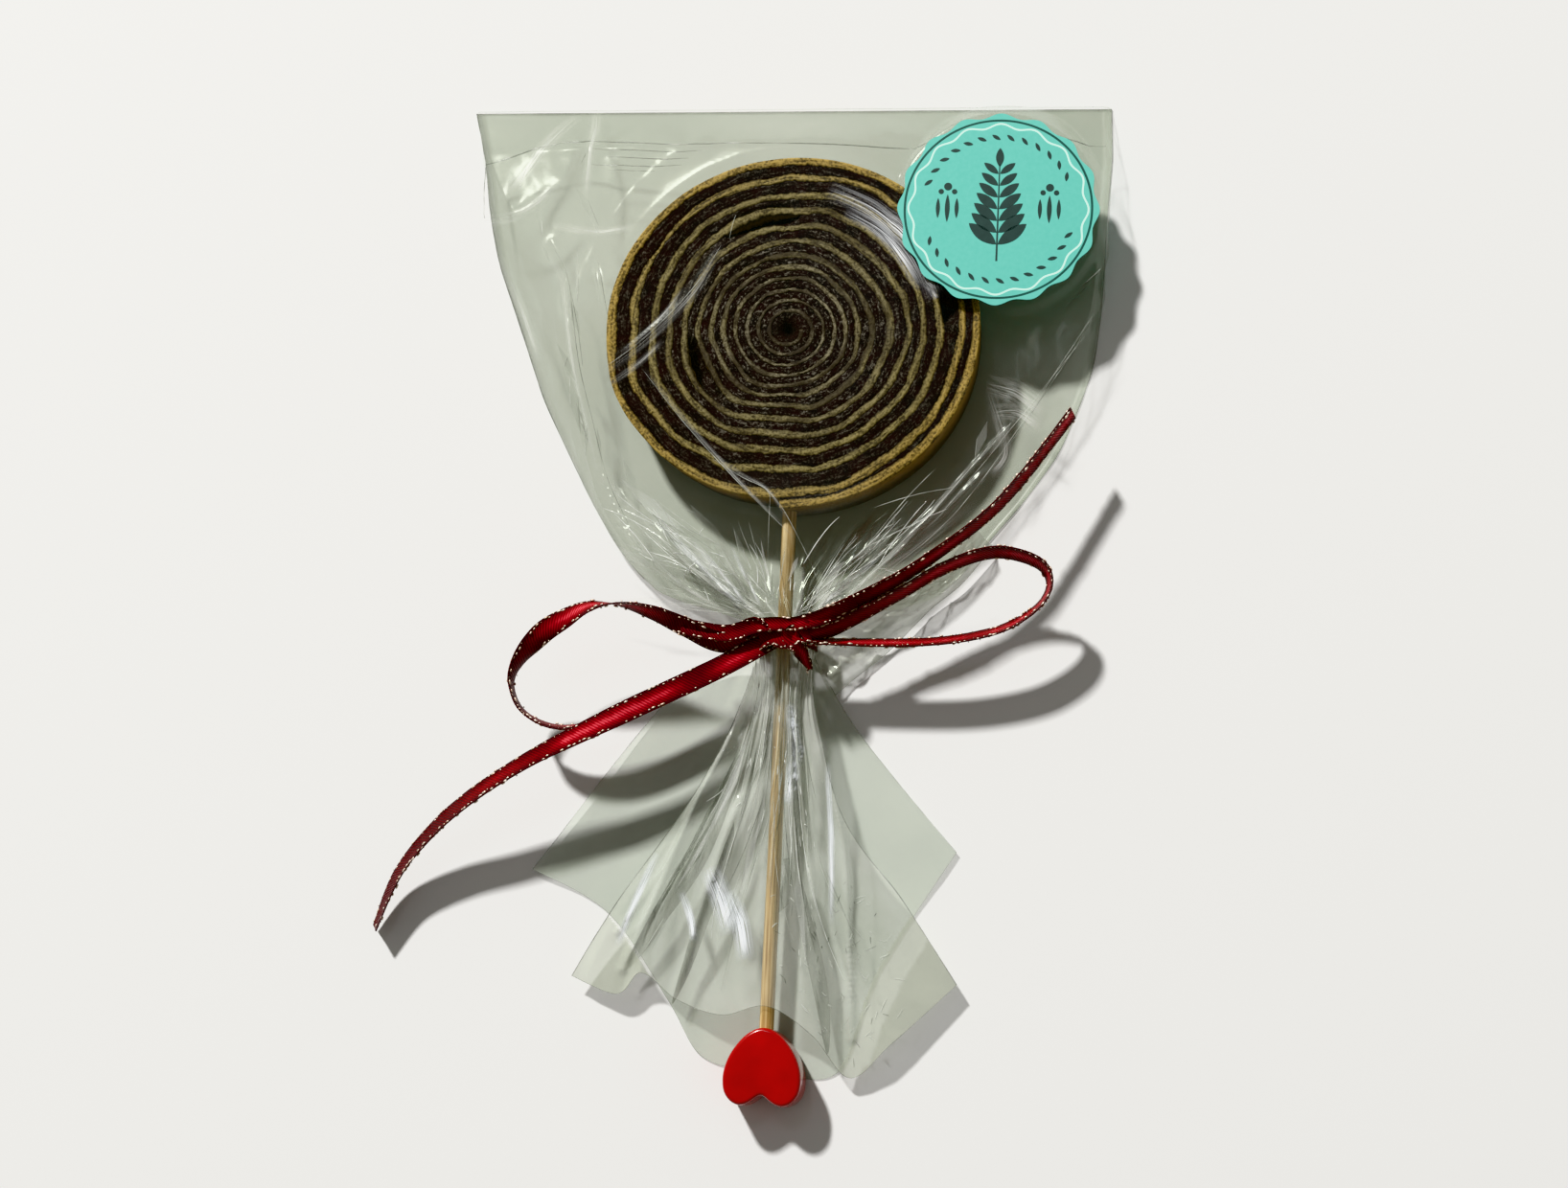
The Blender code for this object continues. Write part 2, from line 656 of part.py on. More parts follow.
def make_strip(name, route):
    """A length of ribbon along a route, turned about it by the route's roll."""
    dense = [spline(route, i / ROUTE_SAMPLES) for i in range(ROUTE_SAMPLES + 1)]
    length = sum((Vector(b[:3]) - Vector(a[:3])).length for a, b in zip(dense, dense[1:]))
    steps = max(int(length / ROUTE_STEP), 4)
    places = [spline(route, i / steps) for i in range(steps + 1)]
    points = []
    for i, place in enumerate(places):
        here = Vector(place[:3])
        before = Vector(places[max(i - 1, 0)][:3])
        after = Vector(places[min(i + 1, steps)][:3])
        forward = (after - before).normalized()
        level = Vector((0, 0, 1)).cross(forward).normalized()
        upright = forward.cross(level)
        roll = math.radians(place[3])
        across = level * math.cos(roll) + upright * math.sin(roll)
        normal = forward.cross(across)
        for w, t in ((-1, -1), (1, -1), (1, 1), (-1, 1)):
            points.append(here + across * (w * RIBBON_WIDTH / 2) + normal * (t * RIBBON_THICKNESS / 2))
    faces = []
    for i in range(steps):
        for k in range(4):
            a = 4 * i + k
            b = 4 * i + (k + 1) % 4
            faces.append((a, b, b + 4, a + 4))
    faces += [(3, 2, 1, 0), tuple(4 * steps + k for k in range(4))]
    return add_solid(name, points, faces)


def make_band():
    """The ribbon's turn round the neck."""
    rings = []
    for gap in (BAND_GAP, BAND_GAP + BAND_THICKNESS):
        for y in BAND_Y:
            for i in range(BAND_SIDES):
                angle = 2 * math.pi * i / BAND_SIDES
                x = NECK_CENTRE[0] + (NECK_HALF_WIDTH + gap) * math.cos(angle)
                z = NECK_CENTRE[1] + (NECK_HALF_HEIGHT + gap) * math.sin(angle)
                rings.append((x, y, z))
    n = BAND_SIDES
    faces = []
    for i in range(n):
        j = (i + 1) % n
        faces.append((i, j, n + j, n + i))
        faces.append((2 * n + j, 2 * n + i, 3 * n + i, 3 * n + j))
        faces.append((j, i, 2 * n + i, 2 * n + j))
        faces.append((n + i, n + j, 3 * n + j, 3 * n + i))
    return add_solid("ribbon_bow", rings, faces)


def make_knot():
    """The rounded lump of the knot."""
    shape = bmesh.new()
    bmesh.ops.create_icosphere(shape, subdivisions=2, radius=1.0)
    points = []
    for vertex in shape.verts:
        points.append([c + h * p for c, h, p in zip(KNOT_CENTRE, KNOT_HALF, vertex.co)])
    faces = [tuple(vertex.index for vertex in face.verts) for face in shape.faces]
    shape.free()
    return add_solid("knot", points, faces)


def make_tuft():
    """The crumpled point of ribbon that sticks out below the knot."""
    start, end = (Vector(point) for point in TUFT_POINTS)
    forward = (end - start).normalized()
    side = forward.cross(Vector((0, 0, 1))).normalized()
    top = side.cross(forward)
    points = []
    for centre, radius in zip((start, end), TUFT_RADII):
        for i in range(TUFT_SIDES):
            angle = 2 * math.pi * i / TUFT_SIDES
            high = radius * TUFT_FLATNESS * math.sin(angle)
            points.append(centre + side * (radius * math.cos(angle)) + top * high)
    n = TUFT_SIDES
    faces = [(i, (i + 1) % n, n + (i + 1) % n, n + i) for i in range(n)]
    faces += [tuple(range(n)), tuple(range(2 * n - 1, n - 1, -1))]
    return add_solid("tuft", points, faces)


def make_ribbon(material):
    band = make_band()
    strips = [
        make_strip("left_tail", LEFT_TAIL),
        make_strip("left_loop", LEFT_LOOP),
        make_strip("right_tail", RIGHT_TAIL),
        make_strip("right_loop", RIGHT_LOOP),
    ]
    join_solids(band, strips + [make_knot(), make_tuft()])
    band.data.materials.clear()
    band.data.materials.append(material)
    return band


def centre_on_origin():
    """Moves the model so that the origin lies under the middle of its bounding box, on the table."""
    solids = [item for item in bpy.data.objects if item.type == "MESH"]
    corners = [item.matrix_world @ vertex.co for item in solids for vertex in item.data.vertices]
    middle = [(min(c[i] for c in corners) + max(c[i] for c in corners)) / 2 for i in range(2)]
    shift = Vector((-middle[0], -middle[1], -min(c[2] for c in corners)))
    for item in solids:
        item.data.transform(item.matrix_world)
        item.matrix_world.identity()
        item.data.transform(Matrix.Translation(shift))


def main():
    clear_scene()
    yellow = make_yellow_layer(make_material("yellow fruit leather", (0.36, 0.25, 0.055), 0.6))
    dark = make_dark_layer(make_material("dark fruit leather", (0.022, 0.007, 0.009), 0.5))
    bore = make_rod("stick_bore", STICK_TOP_Y + STICK_GAP, 0.0, STICK_RADIUS + STICK_GAP)
    cut(yellow, bore)
    cut(dark, bore)
    bpy.data.objects.remove(bore, do_unlink=True)
    bamboo = make_material("bamboo", (0.52, 0.38, 0.18), 0.6)
    make_rod("stick", STICK_TOP_Y, STICK_END_Y, STICK_RADIUS, bamboo)
    make_heart(make_material("red lacquer", (0.38, 0.002, 0.004), 0.15))
    make_bag(make_material("clear film", (0.85, 0.88, 0.83), 0.1, alpha=0.25))
    make_sticker(make_material("mint paper", (0.15, 0.56, 0.46), 0.5))
    make_ribbon(make_material("red satin", (0.35, 0.001, 0.006), 0.35))
    centre_on_origin()


main()
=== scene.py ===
"""A fruit leather lollipop in a tied clear bag, as an add-on that makes each piece from its sizes.

Lengths are in millimetres in the layout's own frame, and to_frame turns them into metres and puts
them where the frame's solids lie. X runs to the right of the shown side, Y along the stick to the
roll, Z up from the table.
"""

import math
import random
from functools import partial

import bmesh
import bpy
import numpy as np
from bpy.props import FloatProperty, FloatVectorProperty, IntProperty, PointerProperty
from mathutils import Matrix, Vector


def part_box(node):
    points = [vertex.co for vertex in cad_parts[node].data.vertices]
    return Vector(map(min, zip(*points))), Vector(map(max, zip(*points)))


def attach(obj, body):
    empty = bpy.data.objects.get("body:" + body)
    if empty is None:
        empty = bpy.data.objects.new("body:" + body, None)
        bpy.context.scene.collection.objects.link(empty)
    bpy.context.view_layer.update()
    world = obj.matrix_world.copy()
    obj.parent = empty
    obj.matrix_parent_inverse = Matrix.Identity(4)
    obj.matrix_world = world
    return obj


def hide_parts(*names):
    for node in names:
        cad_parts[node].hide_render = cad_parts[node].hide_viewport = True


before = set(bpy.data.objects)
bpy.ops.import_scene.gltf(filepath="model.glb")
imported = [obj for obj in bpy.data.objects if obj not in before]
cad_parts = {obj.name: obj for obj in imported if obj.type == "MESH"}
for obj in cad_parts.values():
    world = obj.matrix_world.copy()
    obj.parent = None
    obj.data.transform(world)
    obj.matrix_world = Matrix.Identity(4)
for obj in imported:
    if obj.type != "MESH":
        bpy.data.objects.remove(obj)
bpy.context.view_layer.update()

bl_info = {
    "name": "Fruit leather lollipop", "version": (1, 0, 0), "blender": (4, 5, 0),
    "location": "3D View > Sidebar > Lollipop",
    "description": "Makes a fruit leather lollipop in a tied clear bag", "category": "Add Mesh"
}

MM = 0.001
BODY = "root"
# The film's material slot and the node that it replaces
FILM = ("clear_film", "bag")

# The layout: where the bag's left edge and shut end lie in it
BAG_LEFT_X = -53.0
BAG_END_Y = 76.6
POUCH_LOW_Y = -1.0

# The roll
ROLL_CENTRE = (0.2, 38.6)
ROLL_FOOT = 0.7
ROLL_TOP = 9.7
FOOT_DRAWN_IN = 0.55
ROLL_WIDER = 0.027
FIRST_RADIUS = 3.36
INNER_PITCH = 1.7
PITCH_GAIN = 0.75
GAIN_FROM_TURN = 3.5
GAIN_OVER_TURNS = 2.5
TURN_AT_BOTTOM = 0.36
LOOSE_TURNS = (8.6, 10.7)
LOOSE_BY = 0.85
END_TURNS = (10.95, 11.36)
END_DRAWN_IN = 1.0
FIRST_TURN = -1.0
LAST_TURN = 11.36
# Each layer: the height of its top, how round its edge is, how coarse its grain and the grain's seed
YELLOW_LAYER = {"top": ROLL_TOP - 0.07, "rounding": 0.09, "grain": 0.07, "seed": 51}
DARK_LAYER = {"top": ROLL_TOP - 0.11, "rounding": 0.1, "grain": 0.12, "seed": 61, "gaps": True}
LAYER_OVERLAP = 0.06

# The stick and the heart
STICK_X = 1.1
STICK_TOP = (24.0, 5.4)
STICK_END = (-71.5, 3.9)
# For the film that lies over the stick: its axis at its end, its rise for each millimetre, the film above it
STICK_LOW_Z = 4.2
STICK_RISE = 0.0157
OVER_AXIS = 1.25
HEART_X = 1.1
HEART_TIP_Y = -65.1
HEART_FOOT = 0.9
HEART_WIDTH = 11.5
HEART_LENGTH = 11.2
HEART_THICKNESS = 6.0
HEART_ROUNDING = 1.15
HEART_PROFILE = (
    (0.0, 0.0), (0.2, 0.02), (0.45, 0.1), (0.68, 0.23), (0.86, 0.38), (0.97, 0.54), (1.0, 0.69), (0.95, 0.84),
    (0.79, 0.95), (0.58, 1.0), (0.38, 0.985), (0.2, 0.93), (0.07, 0.88), (0.0, 0.87)
)

# The bag's ribs: y, back left x, fold left x, fold right x, back right x, and the folds' and middle's z
BAG_RIBS = (
    (76.6, -53.0, -52.2, 46.4, 47.3, 1.2, 1.2, 1.2), (68.5, -51.0, -49.6, 46.9, 47.6, 4.5, 7.6, 6.0),
    (60.0, -49.7, -45.5, 46.2, 47.1, 7.0, 8.0, 7.5), (52.0, -47.8, -39.8, 46.0, 46.9, 8.0, 8.1, 8.0),
    (44.0, -44.6, -36.4, 45.6, 46.6, 8.0, 8.1, 8.0), (36.0, -41.5, -35.0, 42.8, 45.7, 8.0, 8.1, 8.0),
    (30.0, -39.2, -33.4, 39.2, 43.9, 8.0, 8.1, 8.0), (22.0, -35.0, -30.8, 34.0, 40.8, 8.0, 8.1, 8.0),
    (14.0, -30.6, -28.4, 28.6, 35.3, 7.8, 8.1, 7.8), (8.0, -26.9, -25.2, 22.0, 30.3, 7.5, 8.1, 7.5),
    (3.0, -23.0, -20.8, 16.0, 26.7, 7.0, 8.1, 7.0), (-1.0, -18.0, -14.5, 10.5, 22.0, 6.3, 8.1, 6.4)
)
FILM_OVER_ROLL = 9.95
FILM_HIGHEST = 11.2
FILM_FALLS_FROM = 29.0
BACK_ABOVE = 0.12
FILM_LOWEST = 0.1
UNDER_STICKER = 0.12
STICKER_REACH = 15.2
HIGHEST_UNDER_STICKER = 10.9
NECK_CENTRE = (1.2, 4.9)
NECK_HALF = (4.4, 3.0)
NECK_TOP_Y = -5.6
NECK_END_Y = -9.0
KNOT = (NECK_CENTRE[0], -6.6)
# The bag's rings: from y, to y and how many
RING_STRETCHES = (
    (BAG_END_Y, 68.6, 22), (68.2, 26.0, 88), (25.7, POUCH_LOW_Y, 90), (-1.2, NECK_TOP_Y, 20),
    (-5.9, NECK_END_Y, 10)
)

# The skirt's two layers: both edges from the neck down, and the hems from left to right
BACK_LEFT_EDGE = ((-2.3, -8.0, 2.8), (-12.0, -13.0, 1.4), (-19.4, -19.8, 0.6), (-36.0, -42.9, 0.9))
BACK_RIGHT_EDGE = ((4.5, -8.0, 2.8), (10.7, -18.6, 1.0), (18.1, -27.7, 0.4), (27.6, -38.3, 0.8))
BACK_HEM = (
    BACK_LEFT_EDGE[-1], (-24.2, -49.0, 0.3), (-14.4, -61.5, 0.4), (-8.6, -69.7, 0.3), (1.6, -71.3, 0.3),
    (11.5, -70.8, 0.3), (17.0, -56.0, 0.5), BACK_RIGHT_EDGE[-1]
)
FRONT_LEFT_EDGE = ((-1.9, -8.0, 6.7), (-7.9, -25.8, 5.6), (-23.0, -48.8, 3.6), (-28.7, -58.6, 2.6))
FRONT_RIGHT_EDGE = ((4.3, -8.0, 6.7), (10.5, -32.6, 5.2), (20.3, -45.9, 3.8), (28.5, -57.7, 2.6))
FRONT_HEM = (
    FRONT_LEFT_EDGE[-1], (-21.6, -61.0, 3.0), (-17.9, -57.8, 4.3), (-12.5, -61.5, 3.0), (-5.5, -63.5, 4.6),
    (1.3, -62.0, 5.9), (8.0, -66.0, 4.4), (13.4, -71.7, 2.4), (19.5, -66.5, 3.6), FRONT_RIGHT_EDGE[-1]
)

# Folds that stand up in the front film: points in the plane, height and half width
FILM_RIDGES = (
    (
        (
            (-37.4, 53.1), (-35.2, 48.7), (-34.0, 40.1), (-32.8, 34.4), (-30.1, 24.9), (-27.0, 15.6),
            (-20.5, 3.7)
        ),
        0.9, 0.6
    ),
    (((-30.3, 49.4), (-29.3, 45.6), (-27.8, 39.4)), 0.5, 0.45),
    (((-48.3, 57.0), (-44.3, 57.6), (-41.1, 59.3), (-38.0, 62.5)), 0.45, 0.9),
    (((-33.0, 75.4), (-32.6, 70.7), (-32.8, 60.0)), 0.35, 0.9),
    (((-29.9, 74.5), (-28.8, 72.1), (-30.4, 69.4)), 0.25, 0.6),
    (((-26.6, 15.7), (-17.2, 6.1), (-9.9, -0.2), (-2.7, -5.9)), 0.9, 0.6),
    (((-25.0, 9.4), (-15.7, 0.6), (-5.5, -5.6)), 0.7, 0.5),
    (((-10.5, 9.0), (-7.0, 2.6), (-2.0, -5.2)), 0.7, 0.4),
    (((26.5, 11.1), (17.4, 2.9), (10.9, -2.0), (7.1, -5.5)), 0.8, 0.5),
    (((30.8, 18.2), (21.7, 8.5), (13.1, 0.8), (8.0, -3.8)), 0.7, 0.5),
    (((34.7, 25.3), (27.5, 16.9), (21.7, 9.9), (15.3, 2.8)), 0.8, 0.5),
    (((-27.6, 32.6), (-17.4, 41.5), (-10.6, 51.8)), 0.3, 0.5),
    (((-21.4, 31.0), (-10.0, 18.6), (2.4, 7.0)), 0.3, 0.35)
)
SKIRT_RIDGES = (
    (((-5.6, -23.0), (-10.9, -34.0), (-17.6, -50.0), (-20.8, -57.3)), 1.1, 0.8),
    (((-4.4, -32.0), (-8.7, -46.2), (-13.2, -61.5)), 0.9, 0.7),
    (((8.2, -24.0), (11.6, -38.8), (12.6, -50.0), (13.6, -66.0)), 1.3, 0.7),
    (((4.4, -26.0), (6.8, -44.0), (12.0, -60.0)), 0.7, 0.6),
    (((-3.2, -14.0), (-8.8, -28.0), (-14.0, -40.0), (-22.0, -52.0)), 0.7, 0.6)
)

# Doubled film under the front skirt, drawn darker with painted shade, as outlines in the plane, and how far
# below it
DOUBLED_BELOW = 0.35
SKIRT_FOLDS = (
    (
        (-4.6, -24.0), (-10.3, -36.3), (-16.5, -48.5), (-20.8, -57.3), (-18.0, -55.1), (-14.5, -49.9),
        (-8.4, -40.1), (-4.6, -29.0)
    ),
    (
        (-4.9, -35.2), (-8.7, -46.2), (-10.9, -52.4), (-13.2, -61.6), (-12.1, -60.2), (-9.3, -53.2),
        (-5.4, -41.2)
    ),
    (
        (2.6, -40.5), (5.0, -49.0), (8.2, -61.5), (10.0, -68.4), (10.3, -64.6), (9.5, -57.5), (6.9, -48.0),
        (4.4, -41.0)
    )
)

# Whitened creases on the front film, with painted highlights among them, as soft bands: points in the plane
# and half width
SOFT_BANDS = (
    (((-28.6, 31.0), (-22.5, 35.8), (-17.4, 40.8), (-13.5, 45.8), (-10.4, 52.6)), 0.95),
    (((-27.2, 29.6), (-22.6, 33.0), (-18.6, 37.0)), 0.7),
    (((-25.2, 34.6), (-19.6, 40.2), (-15.8, 45.4)), 0.45),
    (((-21.6, 32.6), (-15.6, 25.4), (-10.0, 19.4), (-4.0, 13.2), (2.4, 7.2)), 0.45),
    (((-10.0, 19.2), (-5.6, 16.2), (-1.6, 13.9), (1.6, 9.4)), 0.4),
    (((-49.4, 56.4), (-44.3, 57.2), (-40.6, 59.4), (-37.0, 63.6)), 1.1),
    (((-38.3, 56.0), (-31.3, 54.8), (-24.0, 54.6)), 0.8),
    (((-33.2, 76.0), (-32.4, 70.7), (-32.8, 58.0)), 1.0),
    (((-36.0, 75.6), (-40.5, 69.0), (-46.0, 60.0)), 1.5),
    (((-46.5, 52.0), (-41.5, 42.0), (-38.0, 33.0)), 1.0),
    (((-38.6, 52.0), (-35.6, 47.0), (-34.2, 40.1), (-32.0, 30.4), (-27.2, 13.6)), 0.7),
    (((-26.8, 15.7), (-17.6, 6.3), (-9.9, 0.0), (-2.7, -5.6)), 0.9),
    (((-24.0, 9.0), (-15.7, 0.8), (-5.5, -5.4)), 0.8),
    (((-10.5, 8.0), (-7.0, 2.6), (-2.0, -5.2)), 0.6),
    (((27.5, 12.1), (17.4, 3.1), (10.9, -1.8), (6.1, -5.3)), 0.9),
    (((31.8, 19.2), (21.7, 8.7), (13.1, 1.0), (7.0, -4.4)), 0.8),
    (((35.7, 26.3), (27.5, 17.1), (21.7, 10.1), (15.3, 3.0)), 0.7),
    (((30.6, 30.0), (33.4, 21.0), (31.0, 17.0)), 1.2),
    # These two bands, right of the roll, are painted highlights where that film is lit, not creases
    (((30.2, 30.6), (34.6, 29.6), (39.4, 26.0)), 2.2),
    (((31.4, 26.4), (35.0, 26.6), (38.8, 23.8)), 1.8)
)

# Painted highlights where the film pulls tight and would shine: from the roll to the sticker, and into the
# knot
PAINTED_GLOSS_BANDS = (
    (((5.2, 60.6), (12.0, 57.6), (16.9, 53.4), (20.0, 49.2), (22.3, 43.4)), 1.9),
    (((8.0, 57.2), (13.6, 54.0), (17.4, 49.6), (20.2, 45.0)), 1.3),
    (((20.6, 46.0), (21.8, 44.8), (22.6, 43.4)), 0.7),
    (((-19.5, 10.2), (-12.5, 3.6), (-4.6, -3.9)), 0.75),
    (((-13.6, 7.0), (-8.8, 2.0), (-3.4, -4.2)), 0.55),
    (((-7.4, 6.4), (-5.0, 1.6), (-1.6, -4.4)), 0.4),
    (((15.6, 5.0), (10.0, 0.2), (5.6, -4.2)), 0.6)
)

# Thin sharp creases on the front film
THIN_CREASES = (
    ((-21.6, 32.2), (-15.6, 24.9), (-10.0, 18.9), (-4.0, 12.9), (2.6, 6.8)),
    ((-10.0, 18.4), (-5.6, 15.8), (-1.8, 13.9), (-1.2, 11.0), (-1.6, 3.0)),
    ((-1.8, 13.9), (0.9, 10.9), (4.4, 4.6), (6.0, 1.0)),
    ((-27.4, 32.6), (-22.5, 36.4), (-17.4, 41.5), (-13.5, 46.5), (-10.6, 51.8)),
    ((-9.4, 52.8), (-9.0, 55.2), (-8.6, 56.6)),
    ((45.6, 41.6), (42.0, 35.6), (36.5, 26.4), (28.3, 14.0), (21.0, 6.0)),
    ((44.6, 38.6), (38.4, 30.0), (31.0, 20.0), (24.0, 11.0)),
    ((33.0, 24.4), (27.8, 17.4), (22.0, 10.4), (15.6, 3.4))
)
DARK_CREASES = (
    ((-37.0, 51.8), (-34.6, 47.3), (-33.2, 40.1), (-31.8, 33.4), (-29.3, 24.9), (-26.2, 15.0), (-20.0, 3.7)),
    ((-34.0, 45.0), (-32.4, 39.0), (-31.2, 33.0)),
    ((-29.7, 49.4), (-28.7, 45.6), (-27.0, 38.4)),
    ((46.0, 42.0), (42.5, 35.6), (37.0, 26.6), (29.0, 14.4)),
    ((-32.2, 68.2), (-22.0, 67.7), (-14.6, 67.3)),
    ((-30.2, 66.9), (-22.0, 66.4), (-16.6, 66.1)),
    ((-32.2, 65.6), (-24.0, 65.2), (-17.6, 64.9)),
    ((-29.2, 64.7), (-22.0, 64.3))
)

# How far above the film each kind of mark lies, and how near the roll, the sticker and the neck they come
LINE_ABOVE = 0.06
SKIRT_LINE_ABOVE = 0.08
BAND_ABOVE = 0.09
CREASE_ABOVE = 0.12
PANE_ABOVE = 0.15
EDGE_ABOVE = 0.05
PANE_HEIGHTS = (0.4, 10.8)
CREASES_OFF_ROLL = 29.6
PANES_OFF_ROLL = 30.0
LOOSE_OFF_ROLL = 30.5
LOOSE_FROM = 31.5
LOOSE_OFF_STICKER = 16.5
CREASES_FROM_Y = -5.2
PANES_FROM_Y = -5.4
LOOSE_TO_Y = 74
CREASE_SEED = 12
LOWER_RIGHT = ((0.6, 0.95), (0.5, 0.93))
NEAR_KNOT = ((0.15, 0.85), (0.05, 0.42))
# Each piece's creases: its flatness, its own lines and their half width, the share of pane edges, and how
# many by the knot, down the skirt and as marks on a part of the skirt, each with the range of half widths
CREASES = (
    (
        "film_creases", 0.3, (THIN_CREASES, 0.05), (0.25, (0.03, 0.06)), (70, (0.03, 0.07)),
        (26, (0.03, 0.06)), (70, (0.05, 0.11), *LOWER_RIGHT)
    ),
    (
        # The glint lines are painted glints: bright white lines where folds would catch the light
        "film_painted_glints", 0.3, ((), 0), None, (64, (0.04, 0.09)), (18, (0.03, 0.07)),
        (34, (0.05, 0.1), *NEAR_KNOT)
    ),
    (
        "film_hems", 0.4, (DARK_CREASES, 0.06), (0.12, (0.03, 0.05)), None, (16, (0.03, 0.06)),
        (30, (0.04, 0.08), *LOWER_RIGHT)
    )
)

# The front film's own edge below the bag's shut end, with half widths
FOLD_LINES = (
    (((-49.6, 66.5), (-45.5, 67.7), (-41.5, 68.9), (-38.0, 69.7)), 0.11),
    (
        (
            (-38.0, 69.7), (-36.6, 69.9), (-30.2, 69.6), (-10.7, 68.4), (4.0, 67.9), (16.6, 67.6),
            (32.0, 68.2), (46.8, 68.8)
        ),
        0.09
    ),
    (((-49.6, 66.5), (-49.2, 62.0), (-48.6, 57.0)), 0.09)
)

# Painted highlights where the front skirt lies flat enough to shine
SKIRT_PAINTED_GLOSS = (
    (((2.8, -17.6), (3.4, -21.0), (4.2, -25.4)), 1.1),
    (((4.4, -23.4), (3.6, -28.4), (3.2, -32.6)), 1.1),
    (((-8.4, -42.0), (-6.4, -46.6), (-4.6, -51.8)), 2.0),
    (((-5.6, -45.4), (-3.4, -50.0), (-2.2, -55.6)), 1.7),
    (((-12.6, -45.6), (-10.9, -49.8), (-10.2, -53.0)), 0.8),
    (((-16.4, -40.0), (-19.4, -47.4), (-22.0, -54.0)), 0.7),
    (((8.6, -26.0), (9.6, -38.0), (10.0, -50.0)), 0.6)
)

# The bag's right side, left out of the knot: its outer edge and the line where it leaves the pouch
FLAP_OUTER = (
    (31.5, 7.6, 1.2), (27.0, 1.9, 1.0), (22.4, -2.1, 0.8), (16.7, -8.3, 0.8), (12.1, -12.3, 0.9),
    (8.2, -15.9, 1.2)
)
FLAP_INNER = (
    (29.2, 9.4, 5.5), (24.7, 4.0, 5.6), (19.0, -1.0, 5.4), (12.4, -4.2, 5.6), (7.6, -6.6, 5.8),
    (4.9, -9.6, 5.0)
)

# The sticker
STICKER_CENTRE = (31.3, 57.2, 10.55)
STICKER_RADIUS = 14.75
STICKER_SCALLOPS = 16
SCALLOP_DEPTH = 0.35
STICKER_FALL = 0.055
LABEL_THICKNESS = 0.14
PRINT_ABOVE = 0.17

# The ribbon: each route as x, y, z and the roll of its face in degrees
LEFT_TAIL = (
    (1.0, -8.2, 10.4, 12), (-7.1, -13.2, 11.5, 6), (-18.8, -19.4, 12.8, 2), (-26.8, -23.5, 12.8, 20),
    (-35.0, -27.7, 11.8, 36), (-43.5, -32.9, 9.8, 40), (-50.3, -38.2, 7.0, 44), (-56.0, -44.8, 4.2, 50),
    (-59.4, -52.7, 2.3, 60)
)
LEFT_LOOP = (
    (0.5, -7.6, 10.2, -20), (-6.9, -9.4, 11.2, -28), (-12.4, -7.5, 12.8, -38), (-17.0, -5.7, 13.8, -58),
    (-22.0, -4.6, 14.0, -88), (-26.8, -4.9, 13.6, -130), (-30.6, -6.6, 12.8, -165), (-34.2, -8.8, 11.8, -200),
    (-37.8, -12.6, 10.0, -250), (-39.1, -16.0, 8.8, -270), (-37.4, -19.8, 8.3, -265),
    (-33.2, -22.0, 8.3, -255), (-28.4, -22.0, 8.4, -250), (-23.0, -20.2, 8.6, -245),
    (-14.6, -15.9, 8.8, -245), (-6.3, -11.9, 9.0, -245), (0.3, -8.8, 10.0, -225)
)
RIGHT_TAIL = (
    (1.6, -7.4, 10.2, 40), (7.2, -5.6, 10.9, 50), (17.7, -0.2, 12.2, 66), (24.6, 4.4, 12.8, 72),
    (31.4, 10.0, 12.6, 73), (36.7, 16.4, 11.7, 73), (43.3, 26.0, 10.6, 73)
)
RIGHT_LOOP = (
    (1.8, -8.0, 9.9, 56), (8.2, -7.1, 9.9, 60), (17.8, -2.0, 10.3, 70), (25.6, 2.6, 10.7, 70),
    (32.7, 4.9, 10.8, 68), (38.8, 3.6, 10.3, 68), (40.7, 0.6, 9.8, 70), (38.8, -3.1, 9.4, 66),
    (33.2, -6.5, 9.3, 60), (24.1, -8.4, 9.4, 60), (13.0, -8.8, 9.5, 62), (2.2, -8.7, 9.6, 70)
)

# The knot: the strand that bridges it, the crumpled core and the tuft below
BRIDGE = (
    (-13.0, -7.6, 12.9, -34), (-6.6, -8.4, 12.2, -20), (-2.6, -7.2, 12.6, 14), (0.6, -6.9, 12.9, -6),
    (4.0, -6.7, 12.8, 10), (8.0, -5.3, 12.4, 34), (12.5, -3.0, 12.2, 58)
)
BRIDGE_SHARE = ((0.0, 6.0, 9.0, 12.0, 17.0, 22.0, 27.0), (0.96, 0.85, 0.72, 0.62, 0.6, 0.72, 0.9))
CORE = (
    (-1.6, -8.9, 11.0, 10), (0.8, -8.6, 12.3, -24), (2.6, -8.9, 12.7, 34), (4.2, -8.2, 12.5, -12),
    (5.6, -8.4, 11.6, -40), (6.0, -8.2, 10.0, 20)
)
BUMP = ((-4.2, -8.3, 11.2, 0), (-3.0, -6.9, 12.0, 30), (-1.6, -6.3, 12.3, 70), (0.2, -6.9, 11.8, 120))
TUFT = (
    (2.6, -7.4, 11.8, -30), (3.6, -8.8, 12.5, 30), (4.2, -9.9, 12.0, -36), (5.0, -10.9, 11.2, 28),
    (5.4, -12.0, 10.2, -30), (5.9, -12.9, 9.4, 10)
)
TUFT_SHARE = ((0.0, 2.0, 4.0, 6.0, 8.0), (0.9, 1.05, 0.8, 0.5, 0.2))
# The ribbon's lengths: route, share of its width, how far it cups, and where it is bunched up
RIBBON_LENGTHS = (
    (LEFT_TAIL, 1, 0.12, None), (LEFT_LOOP, 1, 0.12, None), (RIGHT_TAIL, 1, 0.12, None),
    (RIGHT_LOOP, 1, 0.12, None), (BRIDGE, 1, 0.5, BRIDGE_SHARE), (CORE, 0.95, 0.6, None),
    (BUMP, 0.75, 0.5, None), (TUFT, 0.9, 0.7, TUFT_SHARE)
)
BAND_Y = (-6.3, -9.6)
BAND_OUT = 0.45
THREAD_HALF = 0.1

